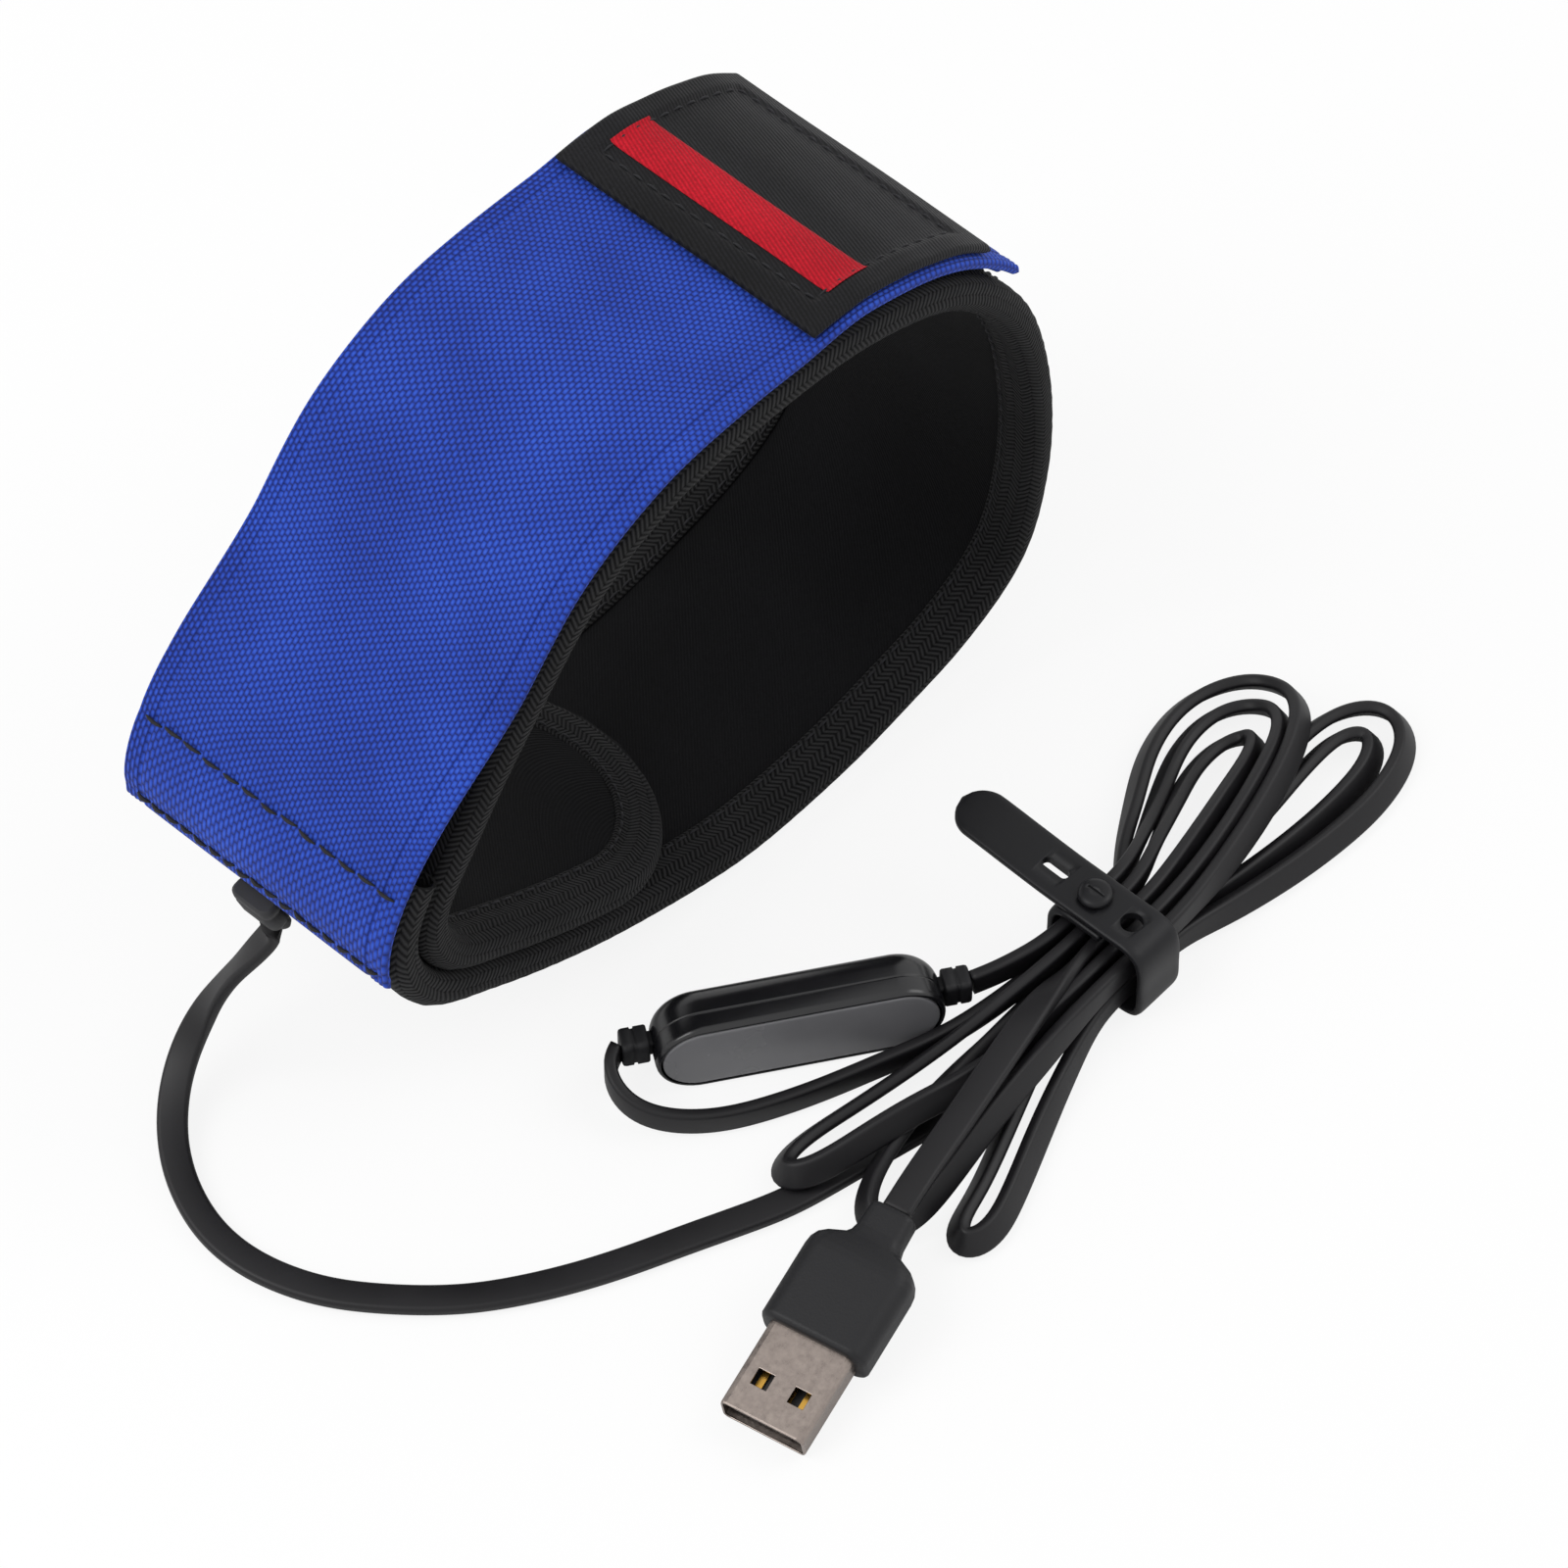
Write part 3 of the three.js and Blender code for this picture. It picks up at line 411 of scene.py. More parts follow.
def zigzag_webbing(name, dark, light, pitch=0.85, leg=1.5):
    """Herringbone webbing of spun polyester: ribs across the length that lean one way and then the other. The
    rib height is a sine of the distance along plus a ping-pong of the distance across. Real ribs are 0.75 mm
    apart and are drawn at 0.85 mm so that they show. The same height also sets the colour: a painted highlight
    greys the rib tops, and painted shade darkens the grooves where the legs meet."""
    made, tree, join = surface_of(name, 0.85, sheen=0.03, specular=0.12)
    along, across = cloth_axes(tree)
    lean = add(tree, "Math", [across, leg], operation="PINGPONG")
    phase = add(tree, "Math", [lean, 0.75, along], operation="MULTIPLY_ADD")
    rib = add(tree, "Math", [add(tree, "Math", [phase, 2 * np.pi / pitch], operation="MULTIPLY")], operation="SINE")
    to_edge = add(tree, "Math", [across, leg / 2], operation="PINGPONG")
    # Groove where the legs meet: it sinks the bump and is also painted shade in the colour.
    leg_groove_and_painted_shade = add(tree, "MapRange", {0: to_edge, 1: 0, 2: 0.22, 3: -0.6, 4: 0})
    height = add(tree, "Math", [rib, leg_groove_and_painted_shade], operation="ADD")
    fuzz, wide = cloud(tree, 3500.0, 4.0), cloud(tree, 70.0, 3.0)
    # Painted highlight and painted shade: the colour follows the rib height, greyer on the rib tops and darker in the
    # grooves.
    tone = add(tree, "MapRange", {0: add(tree, "Math", [height, fuzz], operation="ADD"), 1: -0.6, 2: 1.5, 3: 0, 4: 1})
    drift = add(tree, "MapRange", {0: wide, 1: 0.3, 2: 0.7, 3: 0.8, 4: 1.15})
    join("Base Color", blend(tree, add(tree, "Math", [tone, drift], operation="MULTIPLY"), dark, light))
    relief = add(tree, "Math", [fuzz, 0.5, height], operation="MULTIPLY_ADD")
    join("Normal", add(tree, "Bump", {"Height": relief, "Strength": 0.8, "Distance": 0.00012}))
    return made


def twill(name, dark, light, pitch, slope, roughness, sheen):
    """Twill of fine yarn: diagonal ribs from a sine of the distance along plus a share of the distance across,
    with yarn fuzz and broad soft changes of shade."""
    made, tree, join = surface_of(name, roughness, sheen=sheen, specular=0.14)
    along, across = cloth_axes(tree)
    phase = add(tree, "Math", [across, slope, along], operation="MULTIPLY_ADD")
    rib = add(tree, "Math", [add(tree, "Math", [phase, 2 * np.pi / pitch], operation="MULTIPLY")], operation="SINE")
    fuzz, wide = cloud(tree, 2600.0, 4.0), cloud(tree, 45.0, 4.0)
    ribbed = add(tree, "Math", [rib, 0.2, wide], operation="MULTIPLY_ADD")
    tone = add(tree, "Math", [ribbed, fuzz], operation="MULTIPLY")
    tone = add(tree, "MapRange", {0: tone, 1: 0.1, 2: 0.45, 3: 0, 4: 1})
    join("Base Color", blend(tree, tone, dark, light))
    relief = add(tree, "Math", [fuzz, 0.8, rib], operation="MULTIPLY_ADD")
    join("Normal", add(tree, "Bump", {"Height": relief, "Strength": 0.5, "Distance": 0.00006}))
    return made


# Herringbone polyester webbing: dull black, with a painted highlight on the rib tops and painted shade in the grooves
webbing = zigzag_webbing("herringbone_webbing", "#040405", "#303031")
# Brushed polyester twill: flat black with a faint diagonal
lining_twill = twill("lining_twill", "#060607", "#131315", 0.6, 1.0, 0.92, 0.03)
# Open-cell polyurethane foam, cut from a sheet: pores of about 0.4 mm
foam_finish = moulded("cut_foam", "#1F1F21", "#333336", 0.95, 0.4, 0.2)
# Polyimide film with etched heater track: amber and smooth
film_finish = moulded("amber_film", "#A05A18", "#C77C2C", 0.3, 0.8, 0.01, ior=1.65)


def tongue_width(d, inset):
    """Half width of a layer: the full width, and half a circle round the tongue's centre past it."""
    half = strip_width / 2 - inset
    return np.sqrt(np.maximum(0.3, half ** 2 - np.clip(d - tongue_centre, 0, half - 0.3) ** 2))


def strip_places(inset):
    """Distances of a layer's rings: every 1.6 mm, and closer round the tongue."""
    half = strip_width / 2 - inset
    round_tongue = tongue_centre + half * np.sin(np.radians(np.linspace(0, 88, 30)))
    return np.r_[np.arange(strip_start + inset, tongue_centre - 0.5, 1.6), round_tongue]


def crown(y):
    """1 along the middle of the strip and down to 0 at the crown's half width, as a quarter of a cosine."""
    return np.cos(np.clip(y / crown_half, -1, 1) * np.pi / 2)


crown_half, layer_inset = 19, 0.8
layer_places = strip_places(layer_inset)
layer_half = tongue_width(layer_places, layer_inset)
layer_across = edged(1, 0.03, 0.05)
cover = slab("strip_cover", layer_places, layer_across, layer_half,
             lambda d, y: 1.62 + 0.42 * crown(y) ** 0.7 + 0.05 * crease(d, y, 1),
             lambda d, y: 0.5 + 0 * d, strip_offset, webbing)
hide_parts("outer_cover")
lining = slab("strip_lining", layer_places, layer_across, layer_half,
              lambda d, y: -1.6 - 0.42 * crown(y) ** 0.7 - 0.07 * crease(d, y, 4),
              lambda d, y: 0.4 + 0 * d, strip_offset, lining_twill)
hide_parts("lining")
foam = slab("foam_pad_cut", layer_places, layer_across, layer_half - 0.4,
            lambda d, y: 0.25 + 0 * d, lambda d, y: 1.9 + 0.5 * crown(y),
            strip_offset, foam_finish, 0.8, 0.8)
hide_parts("foam_pad")
refinish("heating_film", film_finish)

# Edge binding: a herringbone tape folded over both edges and round the tongue, and sewn through.
# It rolls over the foam, so the edge is round and stands a little above the cover and the lining.
side_places = np.arange(strip_start, tongue_centre, 1.3)
round_angle = np.linspace(90, -90, 61)[1:-1]
edge_angle = np.radians(np.r_[side_places * 0 + 90, round_angle, side_places * 0 - 90])
edge_y = strip_width / 2 * np.sin(edge_angle)
edge_d = np.r_[side_places, tongue_centre + strip_width / 2 * np.cos(np.radians(round_angle)), side_places[::-1]]
edge_along = np.r_[0, np.cumsum(np.hypot(np.diff(edge_d), np.diff(edge_y)))]
roll = np.radians(np.linspace(90, -90, 17))
outer_roll = np.column_stack([-2.3 + 2.3 * np.cos(roll), 2.62 * np.sin(roll)])
inner_roll = np.column_stack([-2.3 + 1.85 * np.cos(roll[::-1]), 2.15 * np.sin(roll[::-1])])
binding_section = np.vstack([
    [(-6.4, 2.02), (-6.5, 2.28), (-6.2, 2.42), (-5, 2.52), (-3.8, 2.6)], outer_roll,
    [(-3.8, -2.6), (-5.2, -2.56), (-6.6, -2.4), (-7, -2.2), (-6.9, -2.0)], [(-4.6, -2.1)], inner_roll, [(-4.4, 2.1)],
])


def edge_place(along, outward, height):
    """Place on the edge path: the path's point at that distance along, moved outwards in the sheet's plane and
    up by the height, then laid on the loop."""
    d, y, angle = (np.interp(along, edge_along, a) for a in (edge_d, edge_y, edge_angle))
    d = d + outward * np.cos(angle)
    return on_loop(d, y + outward * np.sin(angle), height + strip_offset(d))


pucker = 1 + 0.025 * np.sin(edge_along * 1.9) + 0.02 * crease(edge_along, 0, 3)
tape_height = binding_section[None, :, 1] * pucker[:, None]
tape_rings = edge_place(edge_along[:, None], binding_section[None, :, 0], tape_height)
binding = skin("edge_binding_tape", tape_rings, webbing, along=edge_along)
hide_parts("edge_binding")


def thread_finish(name, dark, light):
    """Spun polyester thread: a dull shade that changes from stitch to stitch, with twisted plies just seen."""
    made, tree, join = surface_of(name, 0.7, sheen=0.05, specular=0.25)
    noise = cloud(tree, 900.0, 3.0)
    join("Base Color", blend(tree, noise, dark, light))
    join("Normal", add(tree, "Bump", {"Height": noise, "Strength": 0.5, "Distance": 0.0001}))
    return made


def stitches(name, start, end, up, size, arch, finish):
    """Row of stitches as one mesh: each is a thread of five rings from its start to its end, raised in a low
    arch and drawn in at both holes, six sides round."""
    s = np.linspace(0, 1, 5)[None, :, None, None]
    start, end, up = (np.asarray(a, float)[:, None, None, :] for a in (start, end, up))
    ahead = end - start
    side = np.cross(up, ahead)
    side /= np.linalg.norm(side, axis=-1, keepdims=True)
    angle = np.radians(np.arange(0, 360, 60))[None, None, :, None]
    bulge = size / 2 * (0.45 + 0.55 * np.sin(np.pi * s))
    p = start + ahead * s + up * arch * np.sin(np.pi * s) + bulge * (side * np.cos(angle) + up * np.sin(angle))
    count = p.shape[0]
    i, j = (a.ravel() for a in np.meshgrid(np.arange(4), np.arange(6), indexing="ij"))
    quads = np.stack([i * 6 + j, i * 6 + (j + 1) % 6, (i + 1) * 6 + (j + 1) % 6, (i + 1) * 6 + j], 1)[:, ::-1]
    quads = (quads[None] + 30 * np.arange(count)[:, None, None]).reshape(-1, 4)
    caps = np.array([[0, 1, 2, 3, 4, 5], [29, 28, 27, 26, 25, 24]])
    caps = (caps[None] + 30 * np.arange(count)[:, None, None]).reshape(-1, 6)
    mesh = bpy.data.meshes.new(name)
    mesh.from_pydata((p.reshape(-1, 3) / 1000).tolist(), [], quads.tolist() + caps.tolist())
    mesh.polygons.foreach_set("use_smooth", [True] * len(mesh.polygons))
    return placed(name, mesh, finish)


# Polyester thread, black and a little shiny
black_thread = thread_finish("black_thread", "#0E0E10", "#2C2C30")
for seam_name, seam_in, seam_height in (("binding_seam_outside", -5.1, 2.5), ("binding_seam_inside", -6.1, -2.46)):
    at = np.arange(2, edge_along[-1] - 4, 2.6)
    upward = np.sign(seam_height)
    low = edge_place(at, seam_in, seam_height)
    high = edge_place(at + 1.9, seam_in, seam_height)
    outwards = edge_place(at, seam_in, seam_height + upward) - low
    outwards /= np.linalg.norm(outwards, axis=1)[:, None]
    stitches(seam_name, low, high, outwards, 0.38, 0.16, black_thread)

# Elastic strap: royal blue woven elastic, 47.5 mm wide, sewn to the strip's end and stretched over the strip.
# Its free end is folded under and carries a hook patch. Ribbed selvedges run along both sides behind a groove.
strap_half, strap_thick, strap_reach, strap_hem = 23.75, 1.4, 137, 3
cloth_gap = 0.3


def strap_offset(d):
    """Height of the strap's middle: on the strip, over its sewn end, and over the hook patch near the free
    end."""
    over_end = step_over * smoothstep(d, strip_start - 30, strip_start)
    return half_strip + cloth_gap + strap_thick / 2 + over_end + 1.3 * (1 - smoothstep(d, -105, -91))


def strap_thickness(d, y):
    """Full thickness, thinner in the groove, ribbed on the selvedge, and pinched along the two seams."""
    groove = np.exp(-((np.abs(y) - 20.6) / 0.35) ** 2)
    ribs = np.where(np.abs(y) > 21, 0.12 * np.cos((np.abs(y) - 21) * 2 * np.pi / 0.8), 0)
    seams = np.exp(-((d - 1.5) / 0.7) ** 2) + np.exp(-((d + 6) / 0.7) ** 2)
    return strap_thick - 0.5 * groove + ribs - 0.35 * seams


def blue_elastic():
    """Woven elastic: basket weave with short floats in bricked rows. Height is the sine across a float times
    the sine across its row, and each row is moved by half a float. Real floats are 0.6 by 0.4 mm and are drawn
    at 1 by 0.7 mm so that they show. The colour follows the height: painted shade darkens the dips between
    the floats, and a painted highlight turns the highest float tops a light blue."""
    made, tree, join = surface_of("blue_woven_elastic", 0.8, sheen=0.06, specular=0.3)
    along, across = cloth_axes(tree)
    row = add(tree, "Math", [across, 1 / 0.7], operation="MULTIPLY")
    shift = add(tree, "Math", [add(tree, "Math", [row], operation="FLOOR"), 0.5], operation="MULTIPLY")
    float_at = add(tree, "Math", [along, 1 / 1.0, shift], operation="MULTIPLY_ADD")
    humps = []
    for place in (row, float_at):
        half_turn = add(tree, "Math", [add(tree, "Math", [place], operation="FRACT"), np.pi], operation="MULTIPLY")
        humps.append(add(tree, "Math", [half_turn], operation="SINE"))
    height = add(tree, "Math", humps, operation="MULTIPLY")
    fuzz, wide = cloud(tree, 3000.0, 3.0), cloud(tree, 60.0, 4.0)
    fuzzy = add(tree, "Math", [fuzz, 0.5, height], operation="MULTIPLY_ADD")
    drift = add(tree, "MapRange", {0: wide, 1: 0.3, 2: 0.7, 3: 0.75, 4: 1.1})
    tone = add(tree, "Math", [fuzzy, drift], operation="MULTIPLY")
    # Painted shade: dark blue in the dips between the floats, mid blue on their tops.
    shade = blend(tree, add(tree, "MapRange", {0: tone, 1: 0.2, 2: 0.8}), "#0A1A5E", "#2145B4")
    # Painted highlight: the highest float tops are mixed towards a light blue.
    light = add(tree, "MapRange", {0: tone, 1: 0.8, 2: 1.4, 3: 0, 4: 0.7})
    join("Base Color", add(tree, "Mix", {0: light, 6: shade, 7: paint("#3A66D6")}, out=2, data_type="RGBA"))
    join("Normal", add(tree, "Bump", {"Height": height, "Strength": 0.9, "Distance": 0.00014}))
    return made


elastic_finish = blue_elastic()
selvedge = np.linspace(20, 23.1, 32)
strap_across = np.unique(np.round(np.r_[edged(strap_half, 0.6, 0.9), selvedge, -selvedge], 3))
strap_places = np.r_[
    np.arange(-strap_reach, -strap_reach + 1, 0.2), np.arange(-strap_reach + 1, -9, 1.2),
    np.arange(-9, strap_hem - 0.8, 0.35), np.linspace(strap_hem - 0.7, strap_hem, 8),
]
strap = slab("elastic_strap_cloth", strap_places, strap_across, strap_half,
             lambda d, y: 0.1 * crease(d, y, 2),
             strap_thickness, strap_offset, elastic_finish, 0.7, 0.6)
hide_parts("elastic_strap")

fold_half = 21.6
fold_places = -strap_reach + np.r_[np.linspace(0.4, 1.4, 6), np.linspace(2, 9.6, 10), np.linspace(9.7, 10.4, 6)]
slab("strap_fold", fold_places, edged(fold_half, 0.4, 1.2), fold_half, lambda d, y: -1.16 + 0.03 * crease(d, y, 5),
     lambda d, y: 0.8 + 0 * d, strap_offset, elastic_finish, 0.4, 0.4)

# Hook patch: moulded nylon hooks on a woven ground, 42 mm wide, sewn under the strap's free end.
# It holds the strap to the cover, and only its edge can be seen.
hook_nylon = moulded("hook_tape_nylon", "#0E0E10", "#26262A", 0.7, 0.35, 0.35)
hook_places = np.r_[np.linspace(-124.8, -124.2, 4), np.arange(-123.6, -106, 0.9), np.linspace(-105.6, -105, 4)]
hook_half = 21
hook = slab("hook_patch_tape", hook_places, edged(hook_half, 0.3, 0.5), hook_half, lambda d, y: -1.32 + 0 * d,
            lambda d, y: 0.55 + 0.25 * np.abs(np.sin(d * 3.3) * np.sin(y * 3.1)), strap_offset,
            hook_nylon, 0.3, 0.3)
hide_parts("hook_patch")

# Two rows of black thread hold the strap's hem to the strip. They were sewn by hand guide, so the stitches
# are a little uneven. The real rows turn back at both sides; here each row is drawn straight across.
for node, seam_d, stitch in (("seam_lower", 1.5, 2.3), ("seam_upper", -6, 3.1)):
    chance = np.random.default_rng(7 + int(stitch * 10))
    at = np.arange(-22.4, 22.4 - stitch, stitch * 1.12)
    drift = chance.uniform(-0.22, 0.22, (2, len(at)))
    start_d, end_d = seam_d + drift[0], seam_d + drift[1]
    lift = strap_thick / 2 - 0.05
    start = on_loop(start_d, at, strap_offset(start_d) + lift)
    end = on_loop(end_d, at + stitch * chance.uniform(0.86, 1.0, len(at)), strap_offset(end_d) + lift)
    outwards = on_loop(start_d, at, strap_offset(start_d) + lift + 1) - start
    row = stitches(node + "_thread", start, end, outwards, 0.62, 0.3, black_thread)
    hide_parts(node)

# Woven label: black satin with its edges folded under and sewn down with running stitches, and a red satin
# stripe across it. It's puffy, because four layers lie at the folded edge.
label_half, label_from, label_to, label_seam = 22.75, -129, -95, 4.2


def label_thickness(d, y):
    """Thin in the field and twice as thick on the folded hem, with a furrow where the hem is sewn."""
    side = label_half - np.abs(y)
    inner = np.minimum(side, np.minimum(d - label_from, label_to - d))
    hem = 1 - smoothstep(inner, 4.0, 5.4)
    furrow = np.exp(-((inner - label_seam) / 0.45) ** 2)
    return 0.85 + 0.5 * hem - 0.45 * furrow


def label_face(d, y):
    """Height of the label's face over the strap's middle: the gap, the thickness and low waves."""
    return strap_thick / 2 + cloth_gap + label_thickness(d, y) + 0.12 * crease(2 * d, y, 6)


satin_black = twill("label_satin_black", "#060607", "#1C1C1F", 0.55, 0.35, 0.6, 0.05)
satin_red = twill("label_satin_red", "#960C1B", "#D2182C", 0.55, 0.35, 0.65, 0.05)
label_places = np.r_[
    np.linspace(label_from, label_from + 0.8, 8)[:-1], np.arange(label_from + 0.8, label_to - 0.8, 0.55),
    np.linspace(label_to - 0.8, label_to, 8),
]
label = slab("woven_label_cloth", label_places, edged(label_half, 0.8, 0.6), label_half,
             lambda d, y: label_face(d, y) - label_thickness(d, y) / 2,
             label_thickness, strap_offset, satin_black, 0.8, 0.8)
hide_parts("woven_label")
stripe_places, stripe_half = np.linspace(-108, -101.1, 22), 19.15
stripe = slab("label_red_stripe", stripe_places, edged(stripe_half, 0.3, 0.6), stripe_half,
              lambda d, y: label_face(d, y) + 0.06,
              lambda d, y: 0.25 + 0 * d, strap_offset, satin_red, 0.3, 0.3)
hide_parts("label_stripe")

seam_from, seam_to = label_from + label_seam, label_to - label_seam
corner_d = np.array([seam_from, seam_to, seam_to, seam_from, seam_from])
corner_y = np.array([-1, -1, 1, 1, -1]) * (label_half - label_seam)
seam_along = np.r_[0, np.cumsum(np.hypot(np.diff(corner_d), np.diff(corner_y)))]


def on_label(along, lift):
    """Place on the label's sewn line at a distance along it, raised by the lift from the label's face."""
    d, y = np.interp(along, seam_along, corner_d), np.interp(along, seam_along, corner_y)
    return on_loop(d, y, strap_offset(d) + label_face(d, y) + lift)


label_at = np.arange(0.4, seam_along[-1] - 2, 2.5)
stitches("label_stitches", on_label(label_at, 0), on_label(label_at + 1.8, 0),
         on_label(label_at, 1) - on_label(label_at, 0), 0.4, 0.2, black_thread)

# Grommet: a small moulded rubber sleeve, sewn in where the lead leaves the strip's hem.
# Its skin is spark eroded, so it looks dull.
grommet_rubber = moulded("grommet_rubber", "#161618", "#232327", 0.65, 0.3, 0.05)
grommet_size = np.array([0.86, 1, 1, 0.94, 0.94, 1, 1, 0.9, 0.6])
grommet_d = np.array([3.3, 3.6, 4.2, 4.35, 4.7, 4.85, 6.4, 7, 7.3])
grommet_outline = rounded_bar(7, 3.2, 1.2)
grommet_y, grommet_h = (grommet_outline[None, :, k] * grommet_size[:, None] for k in (0, 1))
grommet_rings = on_loop(grommet_d[:, None], grommet_y, exit_height + grommet_h)
grommet = skin("cord_exit_sleeve", grommet_rings, grommet_rubber)
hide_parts("cord_exit")

# Controller: a two-part moulded ABS case, glossy black, with a plain grey plate on its flat side.
# A fine parting line runs round it, and a block collar grips the lead at each end.
case_length, case_height, case_depth, case_round, case_middle = 40, 13, 8.5, 3.6, 6.5


def stadium(length, height, y, cuts=24):
    """Ring with straight long sides and half-round ends, in the plane at that depth: a half circle at each end,
    moved out by half the straight length."""
    radius = height / 2
    angle = np.radians(np.linspace(-90, 90, cuts + 1))
    right = np.column_stack([length / 2 - radius + radius * np.cos(angle), radius * np.sin(angle)])
    p = np.vstack([right, -right])
    return np.column_stack([p[:, 0], np.full(len(p), y), case_middle + p[:, 1]])


def case_rings(profile):
    """Rings of the case's outline, each set in by its inset at its depth."""
    return [on_controller(stadium(case_length - 2 * i, case_height - 2 * i, y)) for i, y in profile]


back = np.radians(np.linspace(0, 90, 12))
case_profile = np.vstack([
    [(case_round + 0.5, case_depth / 2)],
    np.column_stack([case_round * (1 - np.sin(back)), case_depth / 2 - case_round * (1 - np.cos(back))]),
    [(0, -0.9), (0, -1.0), (0.12, -1.06), (0.12, -1.2), (0, -1.26), (0, -1.36), (0, -3.3), (0.05, -3.7), (0.2, -4.05),
     (0.4, -4.2), (0.55, -4.25), (0.6, -4.2), (0.62, -4.05), (0.62, -3.1), (1.2, -3.0), (1.2, 1.85), (2.6, 3.0)],
])
black_abs = moulded("gloss_black_abs", "#0C0C0E", "#151518", 0.24, 0.9, 0.008, ior=1.54)
case = skin("controller_case", case_rings(case_profile), black_abs)
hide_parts("controller_shell")
grey_abs = moulded("grey_face_plate", "#707073", "#828285", 0.26, 0.8, 0.006, ior=1.54)
plate_profile = [(1.5, -3.26), (0.95, -3.26), (0.92, -3.35), (0.92, -4.08), (1.0, -4.2), (1.14, -4.25), (1.6, -4.25)]
plate = skin("controller_plate", case_rings(plate_profile), grey_abs)
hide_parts("controller_cover")
collar_finish = moulded("collar_pvc", "#0E0E10", "#18181B", 0.55, 0.3, 0.04, specular=0.3)
collar_profile = [
    (17.6, 0.55), (17.8, 0.62), (20.2, 0.62), (20.3, 0.62), (20.35, 0.94), (20.6, 1), (22, 1), (22.1, 0.9),
    (22.5, 0.9), (22.6, 1), (23.6, 1), (23.95, 0.96), (24.1, 0.86),
]
collar_outline = np.column_stack([np.zeros(20), rounded_bar(4, 4.6, 0.9)])
for side, node in ((-1, "collar_left"), (1, "collar_right")):
    rings = [on_controller(collar_outline * k + (side * x, 0, case_middle)) for x, k in collar_profile]
    collar = skin(node + "_block", rings, collar_finish)
    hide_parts(node)

# Circuit board with its chip and capacitor: glass-epoxy board with green resist, epoxy chip and ceramic body.
# They stand behind the plate and are not seen when the case is closed.
board_finish = moulded("green_resist", "#174A2A", "#2A6B40", 0.4, 1.2, 0.02)
chip_finish = moulded("chip_epoxy", "#0E0E10", "#1B1B1D", 0.55, 0.2, 0.02)
ceramic_finish = moulded("capacitor_ceramic", "#8A673E", "#A87F52", 0.45, 0.25, 0.02)
refinish("circuit_board", board_finish)
refinish("switching_chip", chip_finish)
refinish("filter_capacitor", ceramic_finish)

# Plug: a PVC overmould with a fine spark-eroded grain and round shoulders on a folded nickel-plated steel
# shell. The shell has two square windows on each wide side, with gilt contacts on a black insulator inside.
overmould_finish = moulded("overmould_pvc", "#0F0F11", "#19191C", 0.5, 0.35, 0.09, ior=1.52, specular=0.3)
mouth = -17.25
body_x = np.array([-4.25, -4.2, -4, -3.6, 0, 4, 7.4, 8.6, 9.6, 10.4, 11, 11.5, 12.2, 13.2, 15, 16.6, 17, 17.2, 17.25])
body_wide = np.array([12.8, 15, 15.6, 16, 16, 16, 16, 15.7, 14.8, 13, 10.6, 8.6, 7.5, 7, 6.8, 6.7, 6.4, 5.8, 5])
body_thick = np.array([5.6, 7, 7.6, 8, 8, 8, 7.9, 7.7, 7.2, 6.5, 5.8, 5.2, 4.8, 4.5, 4.4, 4.3, 4.1, 3.6, 3])
fine_x = np.unique(np.r_[body_x, np.linspace(-4, 17, 60)])
overmould_rings = []
for x, wide, thick in zip(fine_x, np.interp(fine_x, body_x, body_wide), np.interp(fine_x, body_x, body_thick)):
    outline = rounded_bar(wide, thick, min(wide, thick) * 0.34, 8)
    overmould_rings.append(on_plug(np.column_stack([np.full(len(outline), x), outline])))
overmould = skin("plug_overmould", overmould_rings, overmould_finish)
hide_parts("plug_body")


def brushed_nickel():
    """Nickel-plated folded steel: warm grey metal with fine lengthwise rolling marks and a few cloudy spots."""
    made, tree, join = surface_of("nickel_plated_steel", 0.32, metallic=1.0)
    place = add(tree, "TexCoord", out=3)
    spots = add(tree, "TexNoise", {"Vector": place, "Scale": 900.0, "Detail": 5.0, "Roughness": 0.7})
    rolled = add(tree, "Mapping", {"Vector": place, "Rotation": (0, 0, -plug_turn), "Scale": (150, 2600, 2600)})
    marks = add(tree, "TexNoise", {"Vector": rolled, "Scale": 1.0})
    join("Base Color", blend(tree, spots, "#7A706C", "#A2978F"))
    join("Roughness", add(tree, "MapRange", {0: spots, 1: 0.3, 2: 0.7, 3: 0.24, 4: 0.42}))
    join("Normal", add(tree, "Bump", {"Height": marks, "Strength": 0.25, "Distance": 0.00003}))
    return made


nickel = brushed_nickel()
shell_outline = rounded_bar(12, 4.5, 0.7, 3)
ring_y = np.r_[-4, -1.6, 1.6, 4]
top_points = np.column_stack([ring_y, np.full(4, 2.25)])
half_ring = np.vstack([shell_outline[:4], top_points[::-1], shell_outline[4:8]])
shell_ring = np.vstack([half_ring, -half_ring])
shell_x = mouth + np.array([0, 0.25, 2, 4, 6.4, 9, 13, 18])
shell_flare = np.r_[0.985, np.ones(7)]
count = len(shell_ring)
shell_points = np.array([
    on_plug(np.column_stack([np.full(count, x), shell_ring * k])) for x, k in zip(shell_x, shell_flare)
])
window_span, window_at = 3, 2.8
shell_quads = []
for i in range(len(shell_x) - 1):
    for j in range(count):
        a, b = shell_ring[j], shell_ring[(j + 1) % count]
        on_face = a[1] == b[1] and abs(abs(a[1]) - 2.25) < 1e-6
        if i != window_span or not on_face or abs(abs(a[0] + b[0]) / 2 - window_at) >= 0.1:
            near, far, beside = i * count, (i + 1) * count, (j + 1) % count
            shell_quads.append([near + j, far + j, far + beside, near + beside])
shell_mesh = bpy.data.meshes.new("plug_shell_sheet")
shell_mesh.from_pydata((shell_points.reshape(-1, 3) / 1000).tolist(), [], shell_quads)
shell_mesh.materials.append(nickel)
